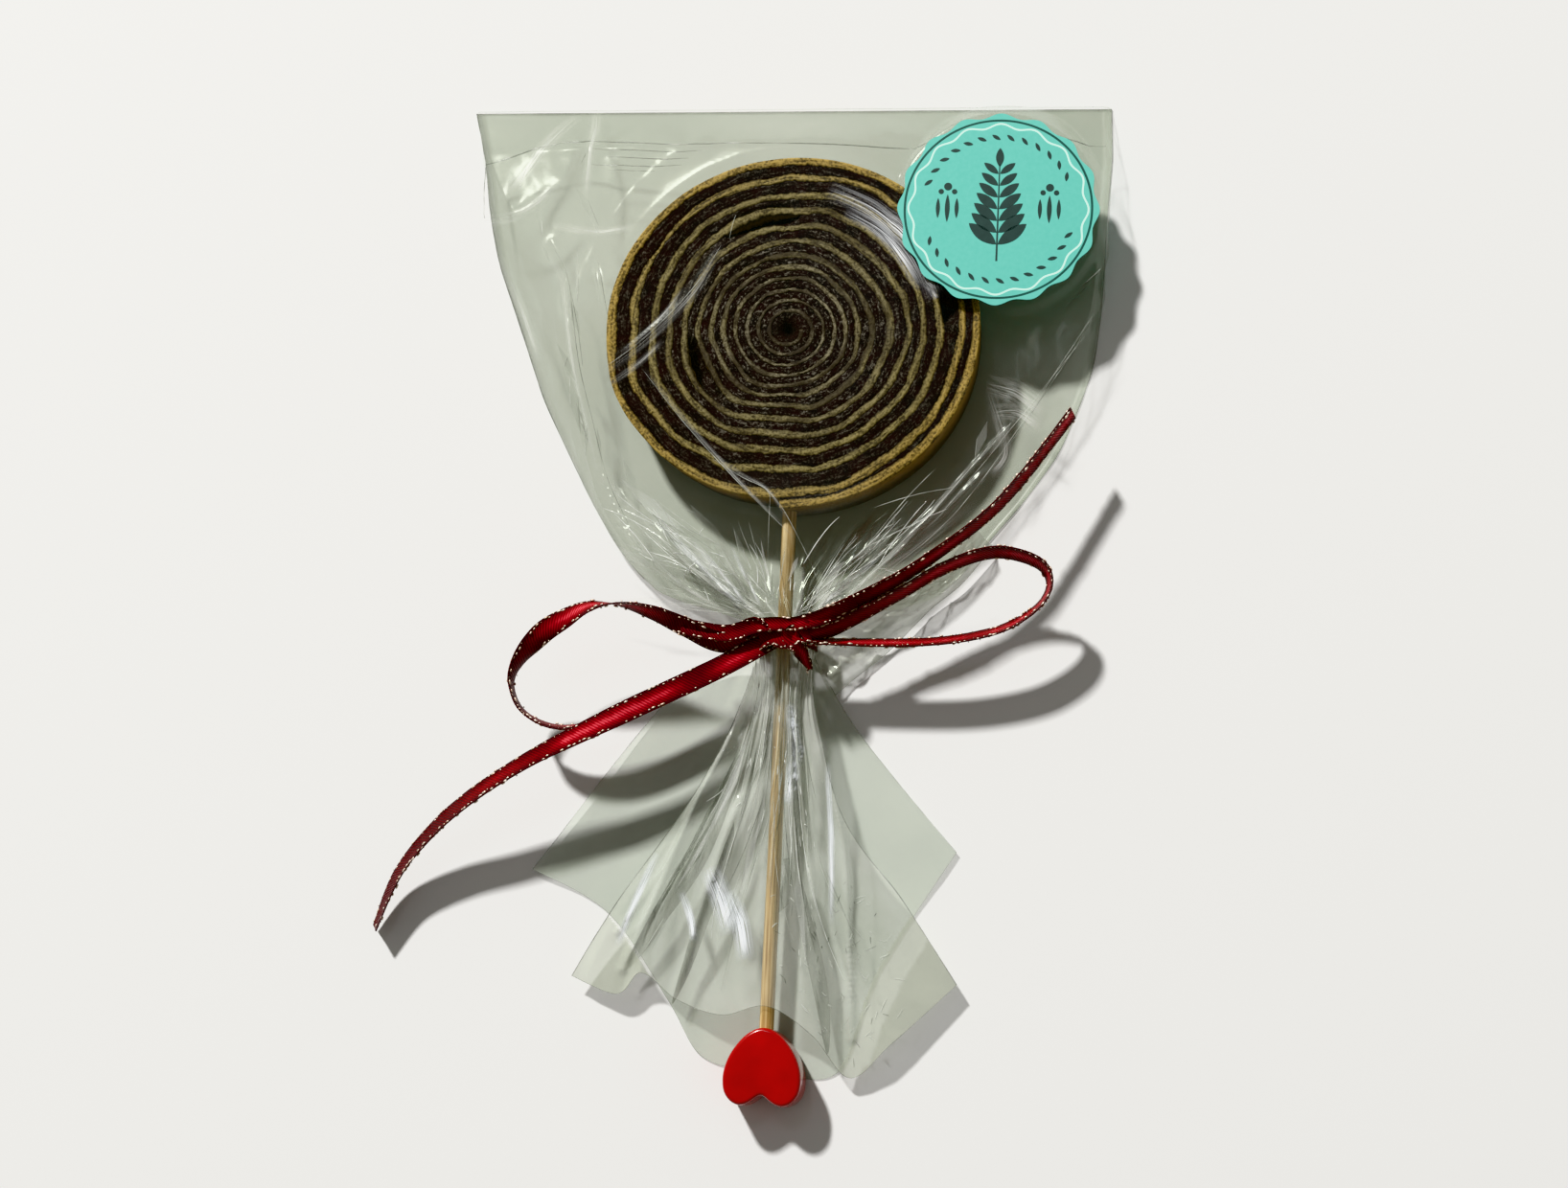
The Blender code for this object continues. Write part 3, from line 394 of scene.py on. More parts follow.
# The camera that the photograph's perspective gives
VIEW_DIRECTION = (0.15455, -0.17791, 0.97184)
VIEW_DISTANCE = 430.0
VIEW_LENS = 65.3
FLOOR_SIZE = 1.6
VIEW_RIGHT = (0.98776, 0.04658, -0.14858)
STRIP_POWER = 0.16
# Each light: its direction, its distance and its sides in metres, and its colour
LIGHTS = {
    "key": ((-0.40, 0.64, 0.66), 2.25, (0.15, 0.15), "#FFFDFA"),
    "strip": ((-0.110, 0.356, 0.93), 0.90, (0.04, 0.14), "#EAF2FF")
}


def linear_colour(hex_code):
    """A colour given as sRGB hex, in linear light."""
    channels = [int(hex_code[i : i + 2], 16) / 255 for i in (1, 3, 5)]
    return [c / 12.92 if c <= 0.04045 else ((c + 0.055) / 1.055) ** 2.4 for c in channels]


def rgba(colour):
    return (colour[0], colour[1], colour[2], 1.0)


def hex_rgba(hex_code):
    return rgba(linear_colour(hex_code))


def smooth_step(value):
    value = np.clip(value, 0.0, 1.0)
    return value * value * (3 - 2 * value)


def spline(points, place):
    """The Catmull-Rom curve through points at place, from 0 to 1, which may be an array."""
    points = np.array(points, float)
    last = len(points) - 1
    at = np.clip(np.asarray(place, float), 0.0, 1.0) * last
    i = np.minimum(at.astype(int), last - 1)
    t = (at - i)[..., None]
    a = points[np.maximum(i - 1, 0)]
    b = points[i]
    c = points[i + 1]
    d = points[np.minimum(i + 2, last)]
    bend = (2 * a - 5 * b + 4 * c - d) * t * t + (3 * b - a - 3 * c + d) * t * t * t
    return 0.5 * (2 * b + (c - a) * t + bend)


def value_noise(x, y, seed):
    """Smooth noise from -1 to 1 over the plane, with one cell to a unit."""
    xi = np.floor(x)
    yi = np.floor(y)
    fx = (x - xi) ** 2 * (3 - 2 * (x - xi))
    fy = (y - yi) ** 2 * (3 - 2 * (y - yi))

    def corner(i, j):
        h = np.sin((xi + i) * 127.1 + (yi + j) * 311.7 + seed * 74.7) * 43758.5453
        return 2 * (h - np.floor(h)) - 1

    low = corner(0, 0) * (1 - fx) + corner(1, 0) * fx
    high = corner(0, 1) * (1 - fx) + corner(1, 1) * fx
    return low * (1 - fy) + high * fy


def folds(across, along, seed, count, finest, slant):
    """Straight-edged folds from about -1 to 1, which run mostly along: flat facets between creases."""
    rng = random.Random(seed)
    total = 0.0
    weights = 0.0
    for k in range(count):
        often = finest[0] * (finest[1] / finest[0]) ** (k / max(count - 1, 1)) * rng.uniform(0.85, 1.15)
        lean = along * rng.uniform(-slant, slant) * (often / finest[0]) ** 0.5
        place = across * often + lean + rng.random()
        weight = (finest[0] / often) ** 0.75
        total = total + weight * (4 * np.abs(place - np.floor(place) - 0.5) - 1)
        weights += weight
    return 1.6 * total / weights


def unit(vectors):
    """Vectors of length 1 in the same directions."""
    return vectors / np.linalg.norm(vectors, axis=1)[:, None]


def distance(x, y, centre):
    """Distance in the plane from a centre."""
    return np.hypot(x - centre[0], y - centre[1])


def turned_point(origin, along, across, turn):
    """A point of the plane that lies along and across from an origin, turned by an angle in radians."""
    c, s = math.cos(turn), math.sin(turn)
    return origin[0] + along * c - across * s, origin[1] + along * s + across * c


def layout_shift():
    """Where the layout's origin lies in the frame, read from the bag's solid."""
    low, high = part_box("bag")
    return Vector((low.x / MM - BAG_LEFT_X, high.y / MM - BAG_END_Y, 0.0))


SHIFT = layout_shift()


def to_frame(points):
    """Layout points in millimetres as points of the frame in metres."""
    return (np.asarray(points, float).reshape(-1, 3) + np.array(SHIFT)) * MM


def grid_faces(rows, columns, closed=False, first=0):
    """Faces of a grid of points that lie row by row."""
    faces = []
    across = columns if closed else columns - 1
    for r in range(rows - 1):
        for c in range(across):
            a = first + r * columns + c
            b = first + r * columns + (c + 1) % columns
            faces.append((a, b, b + columns, a + columns))
    return faces


def new_object(name, data):
    """An object in the scene."""
    piece = bpy.data.objects.new(name, data)
    bpy.context.scene.collection.objects.link(piece)
    return piece


def set_attribute(mesh, name, values):
    mesh.attributes.new(name, "FLOAT", "POINT").data.foreach_set("value", np.asarray(values, float).ravel())


def make_object(name, points, faces, uvs=None, face_slots=None, attributes=None):
    """A mesh object from layout points, with its UV map, material slots and point attributes."""
    mesh = bpy.data.meshes.new(name)
    mesh.from_pydata(to_frame(points).tolist(), [], faces)
    if uvs is not None:
        layer = mesh.uv_layers.new(name="UVMap")
        loops = np.zeros(len(mesh.loops), int)
        mesh.loops.foreach_get("vertex_index", loops)
        layer.data.foreach_set("uv", np.asarray(uvs, float)[loops].ravel())
    for key, values in (attributes or {}).items():
        set_attribute(mesh, key, values)
    if face_slots is not None:
        mesh.polygons.foreach_set("material_index", face_slots)
    mesh.shade_smooth()
    return new_object(name, mesh)


def finish_piece(piece, materials, slot, replaces, sharp_degrees=None):
    """Gives a piece its materials, unless its node tree has, its body and the node that it stands for."""
    if not piece.data.materials:
        for material in materials:
            piece.data.materials.append(material)
    if sharp_degrees:
        piece.data.set_sharp_from_angle(angle=math.radians(sharp_degrees))
    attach(piece, BODY)
    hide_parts(replaces)


def recalculate_normals(piece, merge=1e-7):
    """Joins points closer than merge, in metres, and turns all faces outwards."""
    shape = bmesh.new()
    shape.from_mesh(piece.data)
    bmesh.ops.remove_doubles(shape, verts=shape.verts, dist=merge)
    bmesh.ops.recalc_face_normals(shape, faces=shape.faces)
    shape.to_mesh(piece.data)
    shape.free()


def keep_result(piece):
    """Replaces the piece's mesh by what its modifiers make of it."""
    bpy.context.view_layer.update()
    evaluated = piece.evaluated_get(bpy.context.evaluated_depsgraph_get())
    mesh = bpy.data.meshes.new_from_object(evaluated)
    piece.modifiers.clear()
    piece.data = mesh


def set_inputs(node, inputs):
    """Gives a node's inputs their values, or links them to a socket or to a node's first output in use."""
    for key, value in inputs.items():
        if isinstance(value, bpy.types.Node):
            value = next(socket for socket in value.outputs if socket.enabled)
        if isinstance(value, bpy.types.NodeSocket):
            node.id_data.links.new(value, node.inputs[key])
        else:
            node.inputs[key].default_value = value


def add_node(tree, kind, inputs=None, stops=(), **settings):
    """Adds a node with its settings, its inputs as values or links, and a ramp's colour stops."""
    node = tree.nodes.new(kind if "Node" in kind else "ShaderNode" + kind)
    for name, value in settings.items():
        setattr(node, name, value)
    set_inputs(node, inputs or {})
    while stops and len(node.color_ramp.elements) < len(stops):
        node.color_ramp.elements.new(0.5)
    for i, (place, colour) in enumerate(stops):
        node.color_ramp.elements[i].position = place
        node.color_ramp.elements[i].color = colour
    return node


def new_material(name):
    """A material, the function that adds a node to it, and the coordinates in metres."""
    material = bpy.data.materials.new(name)
    material.use_nodes = True
    add = partial(add_node, material.node_tree)
    return material, add, add("TexCoord").outputs["Object"]


def with_shader(material, inputs):
    """The material, with its shader's inputs set."""
    set_inputs(material.node_tree.nodes["Principled BSDF"], inputs)
    return material


def mottle(add, place, scale, detail, first, second):
    """Noise, and two colours mixed by it."""
    noise = add("TexNoise", {"Vector": place, "Scale": scale, "Detail": detail})
    return noise, add("Mix", {0: noise, 6: first, 7: second}, data_type="RGBA")


def roll_coordinates(add, place):
    """Coordinates that run with the roll's layers, with one unit to a streak's length and thickness:
    streaks about a millimetre or two long and 0.45 mm thick. Pulp fibres are finer than that."""
    centre = tuple(to_frame([(*ROLL_CENTRE, 0.0)])[0])
    offset = add("VectorMath", {0: place, 1: centre}, operation="SUBTRACT")
    flat = add("VectorMath", {0: offset, 1: (1, 1, 0)}, operation="MULTIPLY")
    reach = add("VectorMath", {0: flat}, operation="LENGTH")
    height = add("VectorMath", {0: offset, 1: (0, 0, 1)}, operation="DOT_PRODUCT")
    layer = add("Math", {0: reach, 1: 1.0, 2: height}, operation="MULTIPLY_ADD")
    scaled = add("Math", {0: layer, 1: 2200.0}, operation="MULTIPLY")
    lifted = add("CombineXYZ", {2: scaled})
    direction = add("VectorMath", {0: flat}, operation="NORMALIZE")
    turned = add("VectorMath", {0: direction, 1: (7, 7, 0)}, operation="MULTIPLY")
    joined = add("VectorMath", {0: turned, 1: lifted}, operation="ADD")
    return joined, reach, height


def yellow_leather_material(settings):
    """Dried yellow fruit puree: dull and slightly waxy, with pulp grain, fibres drawn out along the
    layer and darker cooked specks. The inner turns take up colour from the dark layer and look
    greyer. The rim's side is brown, with painted shade that darkens it towards the table."""
    material, add, place = new_material("dried yellow fruit puree")
    along, reach, height = roll_coordinates(add, place)
    share = add("Math", {0: reach, 1: 28 * MM}, operation="DIVIDE")
    patches = add("TexNoise", {"Vector": place, "Scale": 180.0, "Detail": 3.0})
    shifted = add("Math", {0: patches, 1: 0.5, 2: share}, operation="MULTIPLY_ADD")
    by_reach = add(
        "ValToRGB", {0: shifted},
        stops=(
            (0.32, hex_rgba("#2E2820")), (0.46, rgba(settings.inner_yellow)),
            (0.66, rgba(settings.middle_yellow)), (1.0, rgba(settings.outer_yellow))
        )
    )
    stretches = add("TexNoise", {"Vector": along, "Scale": 0.24, "Detail": 1.0})
    smeared = add("MapRange", {0: stretches, 1: 0.44, 2: 0.6, 3: 0.0, 4: 0.8})
    inside = add("MapRange", {0: share, 1: 0.4, 2: 0.85, 3: 1.0, 4: 0.2})
    smear = add("Math", {0: smeared, 1: inside}, operation="MULTIPLY")
    dimmed = add("Mix", {0: smear, 6: by_reach, 7: hex_rgba("#2E261D")}, data_type="RGBA")
    rim_share = add("MapRange", {0: share, 1: 0.80, 2: 0.97, 3: 0.0, 4: 1.0})
    with_rim = add("Mix", {0: rim_share, 6: dimmed, 7: rgba(settings.rim_yellow)}, data_type="RGBA")
    fibres = add("TexNoise", {"Vector": along, "Scale": 1.0, "Detail": 3.0, "Roughness": 0.65})
    grain = add("TexNoise", {"Vector": place, "Scale": 2300.0, "Detail": 3.0, "Roughness": 0.7})
    both = add("Math", {0: fibres, 1: grain}, operation="ADD")
    grain_share = add("MapRange", {0: both, 1: 0.84, 2: 1.12, 3: 0.12, 4: 1.0})
    grained = add("Mix", {0: grain_share, 6: hex_rgba("#2A2214"), 7: with_rim}, data_type="RGBA")
    across = add("Attribute", attribute_name="across")
    centred = add("Math", {0: across.outputs["Fac"], 1: 0.5}, operation="SUBTRACT")
    away = add("Math", {0: centred}, operation="ABSOLUTE")
    frayed = add("Math", {0: fibres, 1: 0.7, 2: away}, operation="MULTIPLY_ADD")
    edge_share = add("MapRange", {0: frayed, 1: 0.62, 2: 0.86, 3: 0.0, 4: 0.85})
    edged = add("Mix", {0: edge_share, 6: grained, 7: hex_rgba("#20170F")}, data_type="RGBA")
    # Painted shade: the rim's side turns darker towards the table
    low = add("MapRange", {0: height, 1: 2.5 * MM, 2: 8.6 * MM, 3: 1.0, 4: 0.0})
    side_tone_with_painted_shade = add("Mix", {0: low, 6: rgba(settings.side_brown), 7: hex_rgba("#3E2F16")}, data_type="RGBA")
    low_share = add("MapRange", {0: height, 1: 7.8 * MM, 2: 9.3 * MM, 3: 0.85, 4: 0.0})
    side = add("Mix", {0: low_share, 6: edged, 7: side_tone_with_painted_shade}, data_type="RGBA")
    bump = add("Bump", {"Height": both, "Strength": 0.6, "Distance": 0.0002})
    return with_shader(
        material, {"Base Color": side, "Normal": bump, "Roughness": 0.65, "Specular IOR Level": 0.25}
    )


def dark_leather_material(settings):
    """Dried dark berry puree: nearly black with a maroon tint, fibres drawn out along the layer and
    coarse pulp grains whose pale grey is partly their own colour and partly painted glints."""
    material, add, place = new_material("dried dark berry puree")
    along, reach, _ = roll_coordinates(add, place)
    patches = add("TexNoise", {"Vector": place, "Scale": 420.0, "Detail": 5.0})
    tone = add("ValToRGB", {0: patches}, stops=((0.35, rgba(settings.dark)), (0.7, rgba(settings.maroon))))
    fibres = add("TexNoise", {"Vector": along, "Scale": 1.25, "Detail": 3.0, "Roughness": 0.7})
    grain = add("TexNoise", {"Vector": place, "Scale": 2600.0, "Detail": 3.0, "Roughness": 0.75})
    both = add("Math", {0: fibres, 1: grain}, operation="ADD")
    # The pale grains are partly the pulp's own grey and partly painted glints
    specks_and_glints = add("MapRange", {0: both, 1: 1.02, 2: 1.26, 3: 0.0, 4: 1.0})
    eye = add("MapRange", {0: reach, 1: 1.0 * MM, 2: 3.0 * MM, 3: 0.25, 4: 1.0})
    outer = add("MapRange", {0: reach, 1: 12.0 * MM, 2: 24.0 * MM, 3: 0.85, 4: 0.45})
    inner_share = add("Math", {0: eye, 1: outer}, operation="MULTIPLY")
    speck_and_glint_share = add("Math", {0: specks_and_glints, 1: inner_share}, operation="MULTIPLY")
    speckled_and_glinting = add("Mix", {0: speck_and_glint_share, 6: tone, 7: rgba(settings.speck_and_glint)}, data_type="RGBA")
    bump = add("Bump", {"Height": both, "Strength": 0.7, "Distance": 0.0002})
    return with_shader(
        material, {"Base Color": speckled_and_glinting, "Normal": bump, "Roughness": 0.7, "Specular IOR Level": 0.08}
    )


def bamboo_material(settings):
    """Split bamboo: pale straw with fine fibres along its length and a few brown streaks."""
    material, add, place = new_material("split bamboo")
    along = add("Mapping", {"Vector": place, "Scale": (1.0, 0.03, 1.0)})
    fibres = add("TexNoise", {"Vector": along, "Scale": 3200.0, "Detail": 3.0})
    tone = add(
        "ValToRGB", {0: fibres},
        stops=((0.30, hex_rgba("#8A6A38")), (0.48, rgba(settings.bamboo)), (0.72, hex_rgba("#DCC898")))
    )
    stains = add("TexNoise", {"Vector": place, "Scale": 90.0, "Detail": 2.0})
    stain_share = add("ValToRGB", {0: stains}, stops=((0.55, (0, 0, 0, 1)), (0.8, (0.5, 0.5, 0.5, 1))))
    stained = add("Mix", {0: stain_share, 6: tone, 7: hex_rgba("#8E6E3A")}, data_type="RGBA")
    bump = add("Bump", {"Height": fibres, "Strength": 0.4, "Distance": 0.0001})
    return with_shader(material, {"Base Color": stained, "Normal": bump, "Roughness": 0.55})


def lacquer_material(settings):
    """Wood under glossy red lacquer: deep even red, a clear highlight and a faint orange peel."""
    material, add, place = new_material("glossy red lacquer on wood")
    drift, tone = mottle(add, place, 240.0, 2.0, rgba(settings.lacquer), hex_rgba("#900002"))
    bump = add("Bump", {"Height": drift, "Strength": 0.15, "Distance": 0.0002})
    return with_shader(
        material,
        {"Base Color": tone, "Normal": bump, "Roughness": 0.22, "Coat Weight": 0.6, "Coat Roughness": 0.06}
    )


def film_material(name, light, shade, deep, edge, metallic, roughness):
    """Clear cellophane: nearly nothing where it faces the eye, a grey-green veil at folds and
    grazing angles, and sharp highlights where a facet turns to the light. The mesh says how dense
    the veil is, because many folds lie together at the knot. A mirror seen faintly stands for the
    two reflecting faces of the thin film."""
    material, add, place = new_material(name)
    facing = add("LayerWeight", {"Blend": 0.3})
    grazing = add("Math", {0: facing.outputs["Facing"], 1: 2.0}, operation="POWER")
    veil = add("Attribute", attribute_name="veil")
    share = add(
        "Math", {0: grazing, 1: edge, 2: veil.outputs["Fac"]}, operation="MULTIPLY_ADD", use_clamp=True
    )
    marks = add("TexNoise", {"Vector": place, "Scale": 60.0, "Detail": 5.0, "Distortion": 0.6})
    mark_share = add("ValToRGB", {0: marks}, stops=((0.35, (0, 0, 0, 1)), (0.65, (1, 1, 1, 1))))
    tone = add("Mix", {0: mark_share, 6: rgba(shade), 7: rgba(light)}, data_type="RGBA")
    alone = add("Attribute", attribute_name="alone")
    deeper = add("Mix", {0: alone.outputs["Fac"], 6: tone, 7: hex_rgba(deep)}, data_type="RGBA")
    crinkle = add("TexVoronoi", {"Vector": place, "Scale": 260.0}, feature="F1")
    crinkle_fine = add("TexNoise", {"Vector": place, "Scale": 1100.0, "Detail": 2.0})
    heights = add("Math", {0: crinkle_fine, 1: 0.2, 2: crinkle.outputs["Distance"]}, operation="MULTIPLY_ADD")
    bump = add("Bump", {"Height": heights, "Strength": 0.10, "Distance": 0.0004})
    return with_shader(
        material,
        {
            "Alpha": share, "Base Color": deeper, "Normal": bump, "Metallic": metallic,
            "Roughness": roughness, "IOR": 1.47
        }
    )


def backing_material(name, light, shade, share_low, share_high):
    """The cellophane that lies on the table: its grey-green tint shows over its own shade, with
    faint cloudy handling marks."""
    material, add, place = new_material(name)
    _, tone = mottle(add, place, 45.0, 4.0, rgba(shade), rgba(light))
    broad = add("TexNoise", {"Vector": place, "Scale": 22.0, "Detail": 1.0})
    share = add("MapRange", {0: broad, 1: 0.35, 2: 0.65, 3: share_high, 4: share_low})
    return with_shader(material, {"Base Color": tone, "Alpha": share, "Roughness": 0.35})


def sheen_material(name, hex_code, strength, roughness, gap=0.42):
    """A soft pale band, clear at both sides, made of fine lines along it: cellophane whitened and
    streaked where it was creased, and also painted highlights where the film would shine."""
    material, add, _ = new_material(name)
    uv = add("TexCoord").outputs["UV"]
    split = add("SeparateXYZ", {0: uv})
    centred = add("Math", {0: split.outputs[0], 1: 0.5}, operation="SUBTRACT")
    away = add("Math", {0: centred}, operation="ABSOLUTE")
    inside = add("MapRange", {0: away, 1: 0.5, 2: 0.05, 3: 0.0, 4: 1.0})
    ends = add("Math", {0: split.outputs[1], 1: math.pi}, operation="MULTIPLY")
    fade = add("Math", {0: ends}, operation="SINE")
    stretched = add("Mapping", {"Vector": uv, "Scale": (14.0, 1.4, 1.0)})
    streaks = add("TexNoise", {"Vector": stretched, "Scale": 1.6, "Detail": 4.0})
    streak_share = add("MapRange", {0: streaks, 1: gap, 2: gap + 0.24, 3: 0.02, 4: 1.0})
    soft = add("Math", {0: inside, 1: fade}, operation="MULTIPLY")
    lined = add("Math", {0: soft, 1: streak_share}, operation="MULTIPLY")
    share = add("Math", {0: lined, 1: strength}, operation="MULTIPLY", use_clamp=True)
    tone = add("Mix", {0: streaks, 6: hex_rgba(hex_code), 7: hex_rgba("#FFFFFF")}, data_type="RGBA")
    return with_shader(material, {"Base Color": tone, "Alpha": share, "Roughness": roughness})


def fold_material():
    """Cellophane folded under itself, so that more layers lie together: a darker grey-green pane with
    faint lengthwise lines, partly the layers' own tint and partly painted shade."""
    material, add, place = new_material("doubled cellophane with painted shade")
    lines = add("Mapping", {"Vector": place, "Scale": (1.0, 0.12, 1.0), "Rotation": (0, 0, 0.45)})
    # Painted shade: the dark grey-green stands partly for shade seen through the folded layers
    streaks, tone = mottle(add, lines, 700.0, 3.0, hex_rgba("#3E4436"), hex_rgba("#868D7B"))
    share = add("MapRange", {0: streaks, 1: 0.3, 2: 0.7, 3: 0.8, 4: 0.5})
    return with_shader(material, {"Base Color": tone, "Alpha": share, "Roughness": 0.2})


def pane_material():
    """Flat panes of crumpled film: each lets through more or less and is paler or darker, as painted glints
    and painted shade for the light that each facet would catch.
    """
    material, add, place = new_material("crumpled cellophane with painted glints and shade")
    pane = add("Attribute", attribute_name="pane")
    drift = add("TexNoise", {"Vector": place, "Scale": 110.0, "Detail": 2.0})
    # Painted light: the bright panes are painted glints and the dark ones painted shade
    tone = add(
        "ValToRGB", {0: pane.outputs["Fac"]},
        stops=((0.1, hex_rgba("#5C6352")), (0.45, hex_rgba("#A6AE9E")), (0.9, hex_rgba("#FBFDFB")))
    )
    away = add("Math", {0: pane.outputs["Fac"], 1: 0.4}, operation="SUBTRACT")
    strong = add("Math", {0: away}, operation="ABSOLUTE")
    share = add("MapRange", {0: strong, 1: 0.05, 2: 0.6, 3: 0.03, 4: 0.45})
    uneven = add("MapRange", {0: drift, 1: 0.35, 2: 0.65, 3: 0.35, 4: 1.0})
    alpha = add("Math", {0: share, 1: uneven}, operation="MULTIPLY")
    return with_shader(material, {"Base Color": tone, "Alpha": alpha, "Roughness": 0.16})


def crease_material(name, scale, colours, alphas, roughness):
    """A cut or folded edge of cellophane, where the film stands on edge: a thin line, unevenly clear,
    pale at a fold, bright white where it is a painted glint, and grey-green at a hem."""
    material, add, place = new_material(name)
    drift, tone = mottle(add, place, scale, 2.0, hex_rgba(colours[0]), hex_rgba(colours[1]))
    share = add("MapRange", {0: drift, 1: 0.35, 2: 0.65, 3: alphas[0], 4: alphas[1]})
    return with_shader(material, {"Base Color": tone, "Alpha": share, "Roughness": roughness})


def satin_material(settings):
    """Woven polyester satin: a red face with a fine diagonal twill, a painted sheen in broad patches
    along the middle that fades to painted shade where the ribbon falls to the table, and nearly
    black selvedges. The threads, 0.1 mm apart, are drawn 0.5 mm apart so that they show."""
    material, add, place = new_material("woven red satin")
    uv = add("TexCoord").outputs["UV"]
    split = add("SeparateXYZ", {0: uv})
    across = split.outputs[0]
    centred = add("Math", {0: across, 1: 0.5}, operation="SUBTRACT")
    edge = add("Math", {0: centred}, operation="ABSOLUTE")
    slub = add("TexNoise", {"Vector": place, "Scale": 900.0, "Detail": 3.0})
    ragged = add("Math", {0: slub, 1: 0.09, 2: edge}, operation="MULTIPLY_ADD")
    selvedge = add("MapRange", {0: ragged, 1: 0.38, 2: 0.46, 3: 0.0, 4: 1.0})
    thread = add("Math", {0: split.outputs[1], 1: 1.9}, operation="MULTIPLY")
    diagonal = add("Math", {0: across, 1: 5.0, 2: thread}, operation="MULTIPLY_ADD")
    turned = add("Math", {0: diagonal, 1: 2 * math.pi}, operation="MULTIPLY")
    twill = add("Math", {0: turned}, operation="SINE")
    woven = add("Math", {0: twill, 1: 0.32, 2: slub}, operation="MULTIPLY_ADD")
    # Painted sheen: noise patches, brightest along the ribbon's middle, make the face lighter where it would
    # catch the light
    waves = add("TexNoise", {"Vector": place, "Scale": 75.0, "Detail": 1.0})
    wave = add("MapRange", {0: waves, 1: 0.36, 2: 0.62, 3: 0.0, 4: 1.0})
    middle = add("MapRange", {0: edge, 1: 0.4, 2: 0.05, 3: 0.1, 4: 1.0})
    painted_sheen = add("Math", {0: wave, 1: middle}, operation="MULTIPLY")
    height = add("SeparateXYZ", {0: place})
    # Painted shade: the sheen fades where the ribbon falls towards the table
    painted_shade_by_height = add("MapRange", {0: height.outputs[2], 1: 0.003, 2: 0.0105, 3: 0.1, 4: 1.0})
    painted_sheen_by_height = add("Math", {0: painted_sheen, 1: painted_shade_by_height}, operation="MULTIPLY")
    tone_share = add("Math", {0: woven, 1: 0.5, 2: painted_sheen_by_height}, operation="MULTIPLY_ADD")
    eased = add("Math", {0: tone_share, 1: 0.8}, operation="MULTIPLY")
    # The palest stop is a painted highlight on the weave's peaks inside the painted sheen
    tone = add(
        "ValToRGB", {0: eased},
        stops=(
            (0.15, rgba(settings.satin_shade)), (0.55, rgba(settings.satin)),
            (0.85, rgba(settings.satin_painted_sheen)), (1.0, hex_rgba("#D2505A"))
        )
    )
    edged = add("Mix", {0: selvedge, 6: tone, 7: rgba(settings.selvedge)}, data_type="RGBA")
    bump = add("Bump", {"Height": twill, "Strength": 0.6, "Distance": 0.00012})
    return with_shader(
        material,
        {
            "Base Color": edged, "Normal": bump, "Roughness": 0.36, "Specular IOR Level": 0.15,
            "Specular Tint": hex_rgba("#FF8C90")
        }
    )


def lurex_material():
    """Metallic lurex thread: pale gold that flashes where it turns to the light."""
    material, add, place = new_material("pale gold lurex thread")
    _, tone = mottle(add, place, 500.0, 1.0, hex_rgba("#D0A888"), hex_rgba("#FFFAF0"))
    return with_shader(material, {"Base Color": tone, "Metallic": 0.5, "Roughness": 0.3})


def label_material(settings):
    """Satin printed label paper: an even mint ground, a dark ring with a pale wavy line inside it,
    and a very faint paper grain."""
    material, add, place = new_material("printed mint label paper")
    centre = tuple(to_frame([STICKER_CENTRE])[0])
    offset = add("VectorMath", {0: place, 1: centre}, operation="SUBTRACT")
    split = add("SeparateXYZ", {0: offset})
    flat = add("CombineXYZ", {0: split.outputs[0], 1: split.outputs[1], 2: 0.0})
    reach = add("VectorMath", {0: flat}, operation="LENGTH")
    angle = add("Math", {0: split.outputs[1], 1: split.outputs[0]}, operation="ARCTAN2")
    waves = add("Math", {0: angle, 1: float(STICKER_SCALLOPS)}, operation="MULTIPLY")
    ripple = add("Math", {0: waves}, operation="COSINE")
    wavy = add("Math", {0: ripple, 1: -settings.wave_height * MM, 2: reach}, operation="MULTIPLY_ADD")
    pale = add("Math", {0: wavy, 1: settings.wave_radius * MM, 2: 0.14 * MM}, operation="COMPARE")
    ring = add("Math", {0: reach, 1: settings.ring_radius * MM, 2: 0.17 * MM}, operation="COMPARE")
    grain, ground = mottle(add, place, 1500.0, 3.0, rgba(settings.mint), rgba(settings.mint_light))
    ringed = add("Mix", {0: ring, 6: ground, 7: rgba(settings.ring)}, data_type="RGBA")
    waved = add("Mix", {0: pale, 6: ringed, 7: rgba(settings.wave)}, data_type="RGBA")
    bump = add("Bump", {"Height": grain, "Strength": 0.12, "Distance": 0.00005})
    return with_shader(material, {"Base Color": waved, "Normal": bump, "Roughness": 0.45})


def ink_material(settings):
    """Printed dark ink on paper: flat and slightly uneven."""
    material, add, place = new_material("dark printing ink")
    _, tone = mottle(add, place, 900.0, 2.0, rgba(settings.ink), hex_rgba("#24443F"))
    return with_shader(material, {"Base Color": tone, "Roughness": 0.5})


def floor_material(settings):
    """Plain pale studio paper."""
    material, add, place = new_material("pale studio paper")
    _, tone = mottle(add, place, 3.0, 2.0, rgba(settings.floor), rgba([c * 0.985 for c in settings.floor]))
    return with_shader(material, {"Base Color": tone, "Roughness": 0.9, "Specular IOR Level": 0.1})


